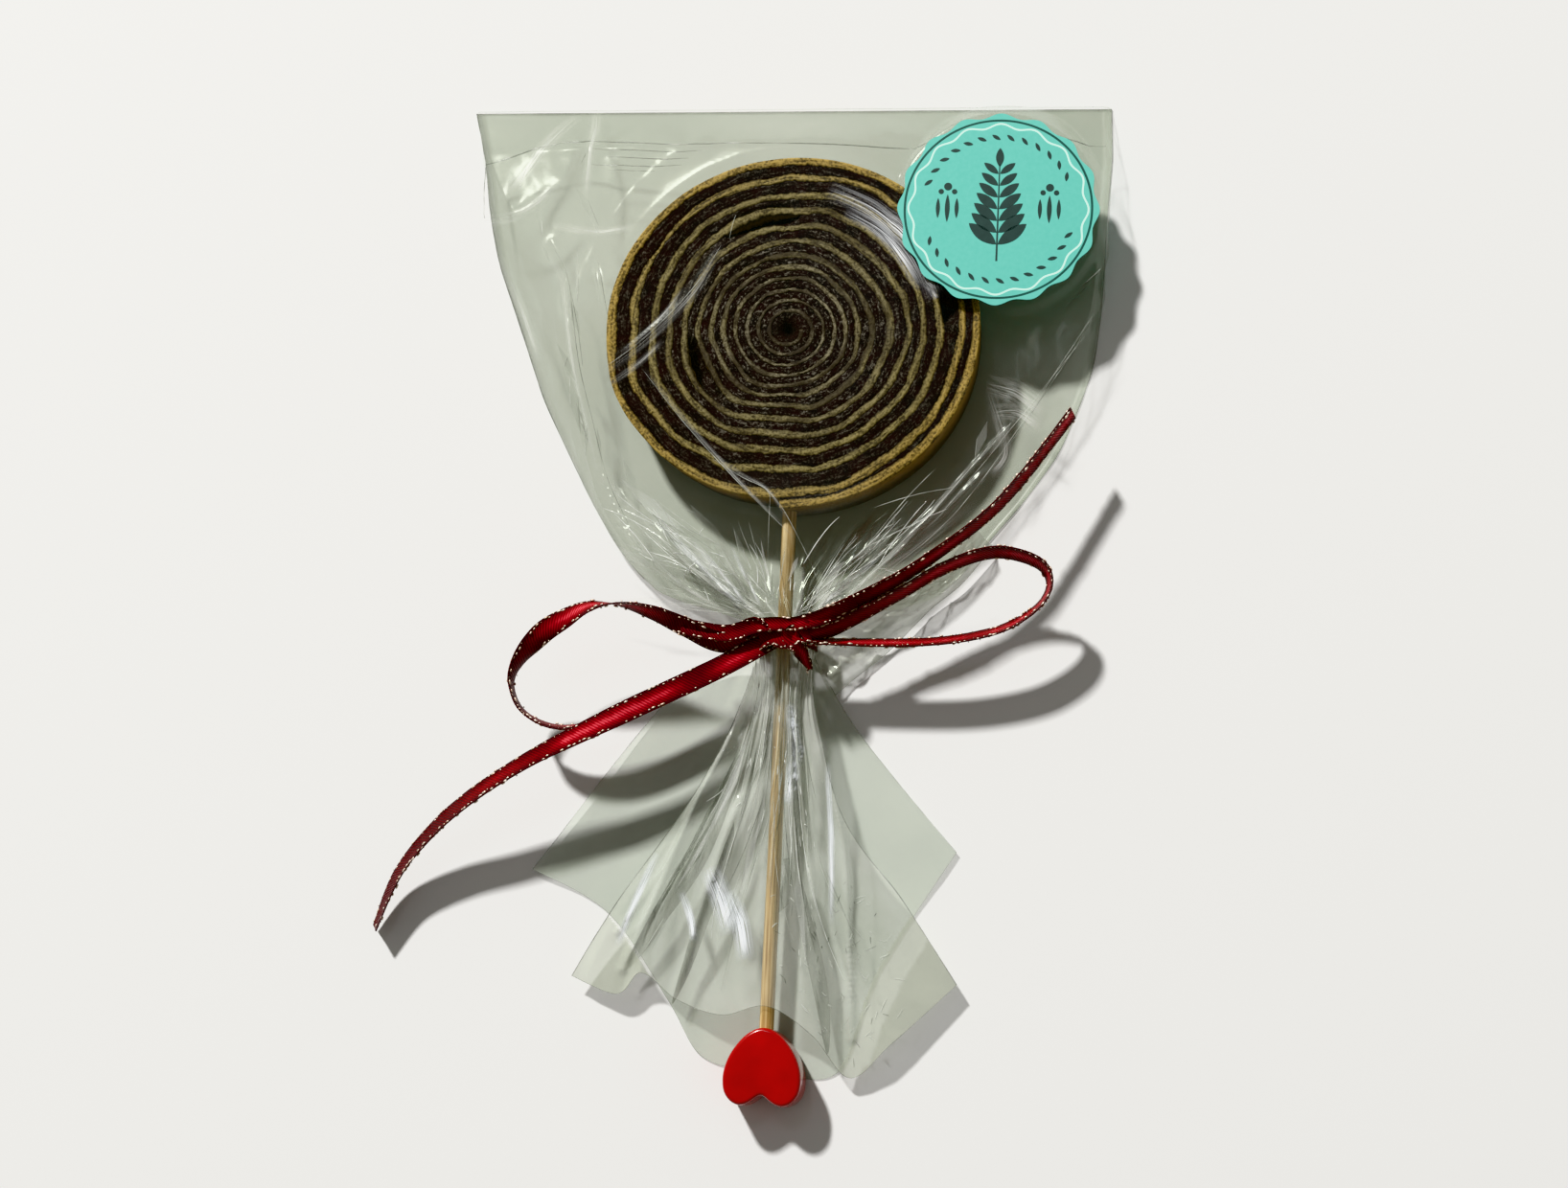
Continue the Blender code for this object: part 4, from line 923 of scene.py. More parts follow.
def layer_radius(turn):
    """Radius of the yellow layer's middle after this many turns from the eye."""
    along = np.maximum((turn - GAIN_FROM_TURN) / GAIN_OVER_TURNS, 0.0)
    gained = np.where(along > 1, along - 0.5, along**3 - along**4 / 2)
    loose = LOOSE_BY * smooth_step((turn - LOOSE_TURNS[0]) / (LOOSE_TURNS[1] - LOOSE_TURNS[0]))
    drawn_in = END_DRAWN_IN * smooth_step((turn - END_TURNS[0]) / (END_TURNS[1] - END_TURNS[0]))
    return FIRST_RADIUS + INNER_PITCH * turn + PITCH_GAIN * GAIN_OVER_TURNS * gained + loose - drawn_in


def yellow_half(turn):
    """Half the yellow layer's thickness: thin near the eye, and nearly gone at one thin spot."""
    thin_spot = 1 - 0.55 * np.exp(-(((turn - 9.71) / 0.035) ** 2))
    thickness = 0.62 + 0.48 * smooth_step((turn - 1) / 6) + 0.14 * smooth_step((turn - 9) / 2)
    return thickness / 2 * thin_spot


# Where the layers part and leave a dark gap: direction in degrees, half its arc, radius, how far apart
GAPS = ((208.0, 24.0, 14.6, 0.6), (106.0, 20.0, 18.4, 0.4), (10.0, 8.0, 23.4, 0.45))


def roll_angle(turn):
    return -math.pi / 2 - 2 * math.pi * (turn - TURN_AT_BOTTOM)


def near_direction(angle, direction, half_arc):
    """1 in a direction in degrees, which falls to 0 half an arc away from it."""
    away = angle - math.radians(direction)
    away = np.arctan2(np.sin(away), np.cos(away)) / math.radians(half_arc)
    return np.clip(1 - away**2, 0, 1)


def roll_place(turn, radius, wobble):
    """Where a point of the roll lies in the plane, with the waves that its layers share."""
    angle = roll_angle(turn)
    x = radius * np.cos(angle)
    y = radius * np.sin(angle)
    fade = smooth_step((radius - 2) / 8)
    outwards = 1.5 * wobble * fade * value_noise(x / 8.5 + 3, y / 8.5, 3)
    outwards = outwards + 0.9 * wobble * fade * value_noise(x / 4.2 + 5, y / 4.2, 6)
    outwards = outwards + 0.2 * wobble * fade * value_noise(x / 1.9, y / 1.9 + 7, 4)
    outwards = outwards * smooth_step((28.6 - radius) / 5)
    below = np.arctan2(np.sin(angle + math.pi / 2), np.cos(angle + math.pi / 2))
    flat = np.exp(-((below / 0.42) ** 2)) * smooth_step((radius - 7) / 9) * smooth_step((27 - radius) / 4)
    outwards = outwards - 0.75 * flat
    for direction, half_arc, gap_radius, apart in GAPS:
        near = near_direction(angle, direction, half_arc)
        side = np.tanh((radius - gap_radius) / 0.25)
        outwards = outwards + apart * near * side * np.exp(-np.abs(radius - gap_radius) / 3.0)
    reach = (radius + outwards) * (1 + ROLL_WIDER * np.cos(2 * angle))
    return ROLL_CENTRE[0] + reach * np.cos(angle), ROLL_CENTRE[1] + reach * np.sin(angle)


def gap_depth(turn, radius):
    """How far the dark layer sinks where the layers part."""
    angle = roll_angle(turn)
    depth = 0.0
    for direction, half_arc, gap_radius, _ in GAPS:
        near = near_direction(angle, direction, half_arc)
        depth = depth + 3.0 * near * np.exp(-(((radius - gap_radius) / 0.9) ** 2))
    return depth + 1.6 * np.exp(-((radius / 1.1) ** 2))


def even_turns(first, last, step):
    """Turns whose points lie about a step in millimetres apart along the spiral."""
    turns = [first]
    while turns[-1] < last:
        turns.append(turns[-1] + step / (2 * math.pi * max(float(layer_radius(turns[-1])), 1.5)))
    turns[-1] = last
    return np.array(turns)


def ragged(turns, seed):
    """The uneven edge of a cut layer, in millimetres: pulp grains and slow swelling."""
    x = layer_radius(turns) * turns * 2 * math.pi
    grains = 0.11 * value_noise(x / 0.6, turns * 0, seed) + 0.06 * value_noise(x / 1.7, turns * 0, seed + 1)
    return grains + 0.10 * value_noise(x / 5.0, turns * 0, seed + 2)


def layer_mesh(name, turns, inner, outer, settings, top, rounding, grain, seed, gaps=False):
    """A closed layer of the roll: a band from its inner to its outer radius with a soft top edge."""
    shares = (0.0, 0.0, 0.08, 0.25, 0.5, 0.75, 0.92, 1.0, 1.0)
    drops = (None, 1.0, 0.35, 0.05, 0.0, 0.05, 0.35, 1.0, None)
    points = np.zeros((len(turns), len(shares), 3))
    for k, (share, drop) in enumerate(zip(shares, drops)):
        radius = inner + (outer - inner) * share
        x, y = roll_place(turns, radius, settings.wobble)
        if drop is None:
            z = np.full(len(turns), ROLL_FOOT)
            drawn_in = FOOT_DRAWN_IN * smooth_step((radius - 23) / 4) / radius
            x = x - (x - ROLL_CENTRE[0]) * drawn_in
            y = y - (y - ROLL_CENTRE[1]) * drawn_in
        else:
            relief = grain * value_noise(x / 0.33, y / 0.33, seed)
            relief = relief + 0.12 * value_noise(x / 4, y / 4, seed + 1)
            z = top - rounding * drop - np.abs(relief)
            if gaps:
                z = z - gap_depth(turns, radius)
        points[:, k] = np.stack([x, y, z], 1)
    columns = len(shares)
    faces = grid_faces(len(turns), columns, closed=True)
    faces.append(tuple(range(columns)))
    last = (len(turns) - 1) * columns
    faces.append(tuple(last + i for i in reversed(range(columns))))
    across = np.tile(shares, (len(turns), 1))
    across[turns > LAST_TURN - 1] = np.minimum(across[turns > LAST_TURN - 1], 0.5)
    piece = make_object(name, points, faces, attributes={"across": across})
    recalculate_normals(piece)
    return piece


def rib_values(y):
    """The bag's sizes at y, eased between its ribs: one column each, as in BAG_RIBS after y."""
    table = np.array(BAG_RIBS)[::-1]
    y = np.asarray(y, float)
    columns = []
    for k in range(1, table.shape[1]):
        near = [
            np.interp(np.clip(y + step, POUCH_LOW_Y, BAG_END_Y), table[:, 0], table[:, k])
            for step in (-2.0, -1.0, 0, 1.0, 2.0)
        ]
        eased = sum(near) / len(near)
        exact = np.interp(y, table[:, 0], table[:, k])
        keep = smooth_step((y - 66.0) / 2.5)
        columns.append(exact * keep + eased * (1 - keep))
    return columns


def soft_max(a, b, softness):
    return 0.5 * (a + b + np.sqrt((a - b) ** 2 + softness**2)) - 0.5 * softness


def sticker_height(x, y):
    """Height of the sticker's lower face above the table."""
    away = np.array(STICKER_CENTRE[:2]) - np.array(ROLL_CENTRE)
    away = away / np.hypot(*away)
    run = (x - STICKER_CENTRE[0]) * away[0] + (y - STICKER_CENTRE[1]) * away[1]
    return STICKER_CENTRE[2] - STICKER_FALL * run


def near_line(x, y, line):
    """Distance in the plane from each point to a line, and the share of the line where it is nearest."""
    nearest = np.full(np.shape(x), 1e3)
    share = np.zeros(np.shape(x))
    steps = 70
    for k, (px, py) in enumerate(spline(line, np.linspace(0, 1, steps))):
        away = distance(x, y, (px, py))
        share = np.where(away < nearest, k / (steps - 1), share)
        nearest = np.minimum(away, nearest)
    return nearest, share


def with_ridges(z, x, y, ridges, end):
    """Heights with folds that stand up along lines, and that fade out over a share at each end."""
    for line, height, half in ridges:
        near, share = near_line(x, y, line)
        z = z + height * np.exp(-((near / half) ** 2)) * np.sin(math.pi * np.clip(share, end, 1 - end)) ** 0.5
    return z


def neck_ring(angle, radial=1, side=1):
    """The x and z of a point round the neck."""
    x = NECK_CENTRE[0] + NECK_HALF[0] * radial * np.cos(angle)
    return x, NECK_CENTRE[1] + side * NECK_HALF[1] * radial * np.sin(angle)


def neck_share(y):
    """How far the bag has drawn in to its neck at y, from 0 to 1, with a soft start."""
    drop = POUCH_LOW_Y - NECK_TOP_Y
    steps = [np.clip((POUCH_LOW_Y - y - step) / drop, 0, 1) ** 0.85 for step in (-1.2, -0.6, 0, 0.6, 1.2)]
    return sum(steps) / len(steps)


def calm_share(x, y):
    """How far a point lies in the film's calm upper left, which shines little: 0 to 1."""
    return smooth_step((y - 42) / 14) * smooth_step((-12 - x) / 12)


def front_film(s, y, settings):
    """A point of the bag's front film: s from 0 at the left fold to 1 at the right one."""
    s = np.asarray(s, float)
    y = np.asarray(y, float)
    _, fold_left, fold_right, _, left_z, middle_z, right_z = rib_values(np.maximum(y, POUCH_LOW_Y))
    x = fold_left + (fold_right - fold_left) * s
    edge_z = left_z + (right_z - left_z) * s
    inwards = smooth_step(np.minimum(s, 1 - s) / 0.2)
    z = edge_z + (middle_z - edge_z) * inwards
    away = distance(x, y, ROLL_CENTRE)
    past_rim = np.maximum(away - FILM_FALLS_FROM, 0.0)
    cover = FILM_OVER_ROLL - 0.28 * past_rim - 0.02 * past_rim**2
    open_part = smooth_step((76.0 - y) / 9.0)
    z = soft_max(z, cover * open_part + z * (1 - open_part), 0.25)
    from_sticker = distance(x, y, STICKER_CENTRE)
    under = sticker_height(x, y) - UNDER_STICKER - 1.9 * np.maximum(from_sticker - STICKER_REACH, 0.0)
    z = np.maximum(z, np.minimum(under, HIGHEST_UNDER_STICKER))
    off_roll = smooth_step((away - 29.5) / 5)
    off_sticker = smooth_step((from_sticker - 15.5) / 4)
    shut = smooth_step((75.5 - y) / 7)
    z = z - 0.35 * off_roll * off_sticker * (1 + value_noise(x / 9, y / 13, 11)) * shut
    z = z - 0.05 * (1 + value_noise(x / 5, y / 7, 13))
    gathered = smooth_step((26.0 - y) / 26.0)
    pleats = folds(s, y / 30, 2, 6, (5.0, 34.0), 2.2)
    z = z + settings.pleat_depth * gathered * off_roll * pleats
    loose = off_roll * off_sticker * shut * (1 - gathered)
    z = z + 0.28 * (1 - 0.5 * calm_share(x, y)) * loose * folds(x / 40, y / 40, 8, 5, (3.0, 14.0), 3.0)
    z = z + 0.03 * (1 - off_roll) * folds((x - y) / 40, (x + y) / 40, 12, 4, (3.0, 12.0), 2.0)
    z = with_ridges(z, x, y, FILM_RIDGES, 0.03)
    down = neck_share(y)
    angle = np.radians(160.0 - 140.0 * s)
    neck_x, neck_z = neck_ring(angle, 1 + 0.10 * pleats)
    return x + (neck_x - x) * down, np.minimum(z + (neck_z - z) * down, FILM_HIGHEST)


def pouch_rings(settings):
    """The bag's rings from its shut end to the neck, and how many points each part of a ring has."""
    ys = np.concatenate([np.linspace(*stretch) for stretch in RING_STRETCHES])
    front = np.linspace(0, 1, 290)
    side = np.linspace(0, 1, 16)[1:-1]
    back = np.linspace(0, 1, 60)
    s, y = np.meshgrid(front, ys)
    fx, fz = front_film(s, y, settings)
    ribs = rib_values(np.maximum(ys, POUCH_LOW_Y))
    back_left, back_right = ribs[0][:, None], ribs[3][:, None]
    down = neck_share(ys)[:, None]
    angle = np.radians(-25.0 - 130.0 * back)[None, :]
    share, y_back = np.meshgrid(back, ys)
    bx = back_right + (back_left - back_right) * share
    creased = folds(share, y_back / 30, 6, 4, (4.0, 16.0), 1.5)
    bz = BACK_ABOVE + smooth_step((16 - y_back) / 16) * 0.45 * (1 + np.clip(creased, -1, 1))
    neck_x, neck_z = neck_ring(angle)
    bx = bx + (neck_x - bx) * down
    bz = bz + (neck_z - bz) * down
    sides = []
    along, y_side = np.meshgrid(side, ys)
    for k, (x_from, z_from, x_to, z_to) in enumerate(((fx, fz, bx, bz), (bx, bz, fx, fz))):
        x0, z0, x1, z1 = x_from[:, -1], z_from[:, -1], x_to[:, 0], z_to[:, 0]
        crumple = 0.22 * folds(along, y_side / 22, 31 + k, 3, (1.0, 3.0), 4.0)
        bulge = np.sin(math.pi * along) * (0.10 * np.abs(z1 - z0)[:, None] + crumple)
        way = 1 if k == 0 else -1
        sx = x0[:, None] + (x1 - x0)[:, None] * along + way * bulge * (1 - down)
        sides.append((sx, z0[:, None] + (z1 - z0)[:, None] * along))
    (right_x, right_z), (left_x, left_z) = sides
    low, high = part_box("bag")
    ring_x = np.concatenate([fx, right_x, bx, left_x], 1)
    ring_x = np.clip(ring_x, low.x / MM - SHIFT.x, high.x / MM - SHIFT.x)
    ring_z = np.maximum(np.concatenate([fz, right_z, bz, left_z], 1), FILM_LOWEST)
    ring_y = np.broadcast_to(ys[:, None], ring_x.shape)
    return np.stack([ring_x, ring_y, ring_z], -1), len(front), len(side), len(back)


def sheet_between(left_edge, right_edge, hem, u, v):
    """A point of a sheet between two edges and a hem, filled in as a Coons patch."""
    left_edge, right_edge = np.array(left_edge), np.array(right_edge)
    left = spline(left_edge, v)
    right = spline(right_edge, v)
    low = spline(hem, u)
    u = np.asarray(u)[..., None]
    v = np.asarray(v)[..., None]
    top = left_edge[0] * (1 - u) + right_edge[0] * u
    ruled = top * (1 - v) + low * v
    left_off = left - (left_edge[0] * (1 - v) + np.array(hem[0]) * v)
    right_off = right - (right_edge[0] * (1 - v) + np.array(hem[-1]) * v)
    return ruled + left_off * (1 - u) + right_off * u


def skirt_point(u, v, side, settings):
    """A point of the skirt: side 1 is the front layer, -1 the back one."""
    u = np.asarray(u, float)
    v = np.asarray(v, float)
    if side > 0:
        point = sheet_between(FRONT_LEFT_EDGE, FRONT_RIGHT_EDGE, FRONT_HEM, u, v)
    else:
        point = sheet_between(BACK_LEFT_EDGE, BACK_RIGHT_EDGE, BACK_HEM, u, v)
    hold = (1 - smooth_step(v / 0.22))[..., None]
    angle = math.pi * (1 - u)
    creased = folds(u, v, 9 if side > 0 else 4, 5, (3.0, 16.0), 1.6)
    neck_x, neck_z = neck_ring(angle, 1 + 0.09 * creased, side)
    ring = np.stack([neck_x, point[..., 1], neck_z], -1)
    point = point * (1 - hold) + ring * hold
    inside = np.minimum(u, 1 - u)
    depth = settings.pleat_depth * (1.25 if side > 0 else 0.22) * (1 - 0.72 * smooth_step(v / 0.95))
    lift = depth * creased * smooth_step(inside / 0.04) * smooth_step((v - 0.03) / 0.1)
    lift = lift + 0.25 * value_noise(point[..., 0] / 7, point[..., 1] / 9, 31) * smooth_step(v / 0.4)
    if side > 0:
        lift = with_ridges(lift, point[..., 0], point[..., 1], SKIRT_RIDGES, 0.05)
    point[..., 2] = np.maximum(point[..., 2] + lift, 0.12 if side < 0 else 0.7)
    if side > 0:
        over_stick = np.exp(-(((point[..., 0] - STICK_X) / 2.2) ** 2))
        stick_top = STICK_LOW_Z + (point[..., 1] - STICK_END[0]) * STICK_RISE + OVER_AXIS
        point[..., 2] = np.maximum(point[..., 2], stick_top * over_stick + point[..., 2] * (1 - over_stick))
    return point


class SkirtHeights:
    """Looks up the front skirt's height over a point of the plane."""

    def __init__(self, settings):
        u, v = np.meshgrid(np.linspace(0, 1, 150), np.linspace(0, 1, 150))
        self.grid = skirt_point(u, v, 1, settings).reshape(-1, 3)

    def __call__(self, x, y):
        near = [np.argmin((self.grid[:, 0] - a) ** 2 + (self.grid[:, 1] - b) ** 2) for a, b in zip(x, y)]
        return self.grid[near, 2]


def inside_outline(x, y, outline):
    """1 where a point of the plane lies inside an outline, 0 elsewhere."""
    inside = np.zeros(np.shape(x), bool)
    for (ax, ay), (bx, by) in zip(outline, outline[1:] + outline[:1]):
        crosses = (ay > y) != (by > y)
        if ay != by:
            inside ^= crosses & (x < ax + (y - ay) * (bx - ax) / (by - ay))
    return inside.astype(float)


def add_sheet(name, side, settings, columns, rows):
    """One layer of the skirt. The front one is denser where no layer lies behind it."""
    u, v = np.meshgrid(np.linspace(0, 1, columns), np.linspace(0, 1, rows) ** 0.9)
    points = skirt_point(u, v, side, settings)
    t = np.linspace(0, 1, 40)
    back = np.concatenate([spline(BACK_LEFT_EDGE, t), spline(BACK_HEM, t), spline(BACK_RIGHT_EDGE, t)[::-1]])
    behind = inside_outline(points[..., 0], points[..., 1], [tuple(p) for p in back[:, :2]])
    alone = 1 - behind
    veil = settings.skirt_veil + settings.gather_veil * (1 - smooth_step(v / 0.42)) + 0.36 * alone
    over_stick = np.exp(-(((points[..., 0] - STICK_X) / 1.3) ** 4)) * smooth_step((v - 0.1) / 0.15)
    veil = veil * (1 - 0.6 * over_stick)
    faces = grid_faces(rows, columns)
    if side > 0:
        faces = [tuple(reversed(face)) for face in faces]
    return make_object(name, points, faces, attributes={"veil": veil, "alone": alone})


def flap_point(u, v):
    """A point of the loose right side: u runs down its edge, v from the edge to the pouch."""
    outer, inner = spline(FLAP_OUTER, u), spline(FLAP_INNER, u)
    v = np.asarray(v, float)
    point = outer + (inner - outer) * v[..., None]
    crumple = 0.9 * folds(u, v / 3, 21, 5, (3.0, 14.0), 2.5) + 0.5 * folds(v / 2, u, 22, 4, (2.0, 9.0), 2.0)
    point[..., 2] = np.maximum(point[..., 2] + crumple * smooth_step(np.minimum(v, 1 - v) / 0.3), 0.3)
    return point


def path_object(name, paths):
    """Edges along each path, with half the path's width in millimetres at every point."""
    points, edges, halves = [], [], []
    for path, half in paths:
        first = len(points)
        points += [tuple(p) for p in path]
        halves += list(np.broadcast_to(half, len(path)))
        edges += [(first + i, first + i + 1) for i in range(len(path) - 1)]
    mesh = bpy.data.meshes.new(name)
    mesh.from_pydata(to_frame(points).tolist(), edges, [])
    set_attribute(mesh, "half_width", np.array(halves, float) * MM)
    return new_object(name, mesh)


def socket_id(tree, name):
    for item in tree.interface.items_tree:
        if item.item_type == "SOCKET" and item.in_out == "INPUT" and item.name == name:
            return item.identifier
    raise RuntimeError("the node tree has no input named " + name)


def nodes_group(name, inputs):
    """A Geometry Nodes tree with named inputs, the function that adds its nodes, and what it is given."""
    tree = bpy.data.node_groups.new(name, "GeometryNodeTree")
    for direction in ("INPUT", "OUTPUT"):
        tree.interface.new_socket("Geometry", in_out=direction, socket_type="NodeSocketGeometry")
    for label, kind, value in inputs:
        socket = tree.interface.new_socket(label, in_out="INPUT", socket_type=kind)
        if value is not None:
            socket.default_value = value
    add = partial(add_node, tree)
    return tree, add, add("NodeGroupInput").outputs


def end_tree(tree, add, geometry, material):
    """Ends a tree: its instances made real, shaded smooth and given their material."""
    real = add("GeometryNodeRealizeInstances", {"Geometry": geometry})
    smooth = add("GeometryNodeSetShadeSmooth", {"Geometry": real})
    dressed = add("GeometryNodeSetMaterial", {"Geometry": smooth, "Material": material})
    add("NodeGroupOutput", {"Geometry": dressed})
    return tree


def grow(piece, tree, values):
    """Runs a Geometry Nodes tree on the piece and keeps the result as its plain mesh."""
    modifier = piece.modifiers.new(tree.name, "NODES")
    modifier.node_group = tree
    for name, value in values.items():
        modifier[socket_id(tree, name)] = value
    keep_result(piece)
    return piece


def strip_tree():
    """Flat strips along paths: each path's own half width, with a height that is a share of it."""
    tree, add, given = nodes_group(
        "film_strip", (("Flatness", "NodeSocketFloat", 0.3), ("Material", "NodeSocketMaterial", None))
    )
    curve = add("GeometryNodeMeshToCurve", {"Mesh": given["Geometry"]})
    half = add("GeometryNodeInputNamedAttribute", {"Name": "half_width"}, data_type="FLOAT")
    wide = add("GeometryNodeSetCurveRadius", {"Curve": curve, "Radius": half.outputs["Attribute"]})
    level = add("GeometryNodeSetCurveNormal", {"Curve": wide}, mode="Z_UP")
    ring = add("GeometryNodeCurvePrimitiveCircle", {"Resolution": 6, "Radius": 1.0})
    squash = add("CombineXYZ", {0: 1.0, 1: given["Flatness"], 2: 1.0})
    profile = add("GeometryNodeTransform", {"Geometry": ring, "Scale": squash})
    inputs = {
        "Curve": level, "Profile Curve": profile, "Fill Caps": True, "Scale": add("GeometryNodeInputRadius")
    }
    tube = add("GeometryNodeCurveToMesh", inputs)
    return end_tree(tree, add, tube, given["Material"])


def dash_tree():
    """Short rounded dashes along paths, turned to follow them, with seeded differences in length."""
    tree, add, given = nodes_group(
        "thread_dash",
        (
            ("Pitch", "NodeSocketFloat", 1.2 * MM), ("Length", "NodeSocketFloat", 0.8 * MM),
            ("Width", "NodeSocketFloat", 0.2 * MM), ("Seed", "NodeSocketInt", 4),
            ("Material", "NodeSocketMaterial", None)
        )
    )
    curve = add("GeometryNodeMeshToCurve", {"Mesh": given["Geometry"]})
    spots = add("GeometryNodeCurveToPoints", {"Curve": curve, "Length": given["Pitch"]}, mode="LENGTH")
    bead = add("GeometryNodeMeshIcoSphere", {"Radius": 0.5, "Subdivisions": 1})
    chance = add(
        "FunctionNodeRandomValue", {"Min": -0.45, "Max": 1.3, "Seed": given["Seed"]}, data_type="FLOAT"
    )
    shown = add("Math", {0: chance, 1: 0.02}, operation="MAXIMUM")
    length = add("Math", {0: shown, 1: given["Length"]}, operation="MULTIPLY")
    eased = add("Math", {0: shown, 1: 0.4}, operation="POWER")
    wide = add("Math", {0: eased, 1: given["Width"]}, operation="MULTIPLY")
    size = add("CombineXYZ", {0: wide, 1: wide, 2: length})
    stray = add(
        "FunctionNodeRandomValue",
        {
            0: (-0.16 * MM, -0.16 * MM, -0.03 * MM), 1: (0.16 * MM, 0.16 * MM, 0.05 * MM),
            "Seed": given["Seed"]
        },
        data_type="FLOAT_VECTOR"
    )
    strewn = add("GeometryNodeSetPosition", {"Geometry": spots.outputs["Points"], "Offset": stray})
    placed = add(
        "GeometryNodeInstanceOnPoints",
        {"Points": strewn, "Instance": bead, "Rotation": spots.outputs["Rotation"], "Scale": size}
    )
    return end_tree(tree, add, placed, given["Material"])


def front_height(settings):
    """A function that gives the front film's height over points of the plane."""

    def height(x, y):
        _, fold_left, fold_right, *_ = rib_values(y)
        s = np.clip((x - fold_left) / (fold_right - fold_left), 0.003, 0.997)
        return front_film(s, y, settings)[1]

    return height


def lay(points, height, steps):
    """A smooth line through points of the plane, laid on a surface."""
    line = spline(points, np.linspace(0, 1, steps))
    return np.stack([line[:, 0], line[:, 1], height(line[:, 0], line[:, 1]) + LINE_ABOVE], 1)


def taper(steps, half):
    return half * np.sin(math.pi * np.linspace(0.04, 0.96, steps)) ** 0.6


def soft_bands(name, bands, height):
    """Flat bands on the film, with UVs across and along them: each has points and a half width."""
    points, faces, uvs = [], [], []
    steps, stations = 28, np.linspace(-1, 1, 7)
    for line, half in bands:
        middle = spline(line, np.linspace(0, 1, steps))
        forward = unit(np.gradient(middle, axis=0))
        across = np.stack([-forward[:, 1], forward[:, 0]], 1)
        first = len(points)
        x = (middle[:, None, 0] + across[:, None, 0] * stations * half).ravel()
        y = (middle[:, None, 1] + across[:, None, 1] * stations * half).ravel()
        z = height(x, y) + BAND_ABOVE
        points += np.stack([x, y, z], 1).tolist()
        v, u = np.meshgrid(np.linspace(0, 1, steps), (stations + 1) / 2, indexing="ij")
        uvs += np.stack([u.ravel(), v.ravel()], 1).tolist()
        faces += [tuple(reversed(face)) for face in grid_faces(steps, len(stations), first=first)]
    return make_object(name, points, faces, uvs=uvs)


# The bundles of folds at the knot: direction and spread in degrees, and share of all creases
KNOT_BUNDLES = ((146, 9, 0.36), (120, 11, 0.18), (88, 14, 0.12), (38, 8, 0.34))


def bundle_angle(rng):
    """A direction in radians out of the knot, within one of the bundles of folds."""
    pick = rng.random()
    for direction, spread, share in KNOT_BUNDLES:
        pick -= share
        if pick < 0:
            break
    return math.radians(rng.gauss(direction, spread))


def knot_creases(rng, count, halves, height):
    """Straight creases that fan out from the knot, with short ones that run across them."""
    paths = []
    t = np.linspace(0, 1, 10)
    while len(paths) < count:
        angle = bundle_angle(rng)
        short = rng.random() < 0.45
        start = 2.5 + 20 * rng.random() ** 1.2
        length = rng.uniform(1.0, 3.2) if short else rng.uniform(4.0, 15.0)
        turned = angle + math.radians(rng.gauss(0, 50 if short else 12))
        along = length * t
        across = length * rng.gauss(0, 0.12) * t * (1 - t)
        x, y = turned_point(turned_point(KNOT, start, 0, angle), along, across, turned)
        away = distance(x, y, ROLL_CENTRE)
        if y.min() < CREASES_FROM_Y or away.min() < CREASES_OFF_ROLL:
            continue
        paths.append((np.stack([x, y, height(x, y) + CREASE_ABOVE], 1), taper(len(t), rng.uniform(*halves))))
    return paths


def pane_shape(rng, half):
    """A pane's four corners, along it from 0 to 1 and across it within half its width."""
    low, end, high = rng.uniform(0.3, 0.8), rng.uniform(-0.5, 0.5) * half, rng.uniform(0.2, 0.7)
    return (0.0, 0.0), (low, half), (1.0, end), (high, -half)


def knot_panes(rng, count, height):
    """Flat panes of crumpled film that spread from the knot, as outlines in space."""
    panes = []
    while len(panes) < count:
        angle = bundle_angle(rng)
        start = 3.0 + 18 * rng.random() ** 1.3
        length = rng.uniform(4.0, 14.0)
        turned = angle + math.radians(rng.gauss(0, 15))
        half = rng.uniform(0.02, 0.1) * length
        foot = turned_point(KNOT, start, 0, angle)
        corners = pane_shape(rng, half)
        outline = np.array([turned_point(foot, length * along, across, turned) for along, across in corners])
        away = distance(outline[:, 0], outline[:, 1], ROLL_CENTRE)
        if outline[:, 1].min() < PANES_FROM_Y or away.min() < PANES_OFF_ROLL:
            continue
        middle = outline.mean(axis=0)
        tilt = np.array([rng.gauss(0, 0.22), rng.gauss(0, 0.22)])
        z = float(height(middle[:1], middle[1:])[0]) + PANE_ABOVE + (outline - middle) @ tilt
        panes.append(np.column_stack([outline, np.clip(z, *PANE_HEIGHTS)]))
    return panes


def skirt_panes(settings, rng, count):
    """Long flat panes of creased film that run down the front skirt, as outlines in space."""
    panes = []
    for _ in range(count):
        u0, v0 = rng.uniform(0.12, 0.88), rng.uniform(0.03, 0.5)
        lean, length, half = rng.gauss(0, 0.03), rng.uniform(0.14, 0.45), rng.uniform(0.012, 0.05)
        shape = pane_shape(rng, half)
        u = np.clip([u0 + lean * along + across for along, across in shape], 0.03, 0.97)
        v = np.clip([v0 + length * along for along, across in shape], 0.02, 0.97)
        pane = skirt_point(np.array(u), np.array(v), 1, settings)
        pane[:, 2] += np.array([rng.uniform(0.1, 0.7) for _ in range(4)])
        panes.append(pane)
    return panes


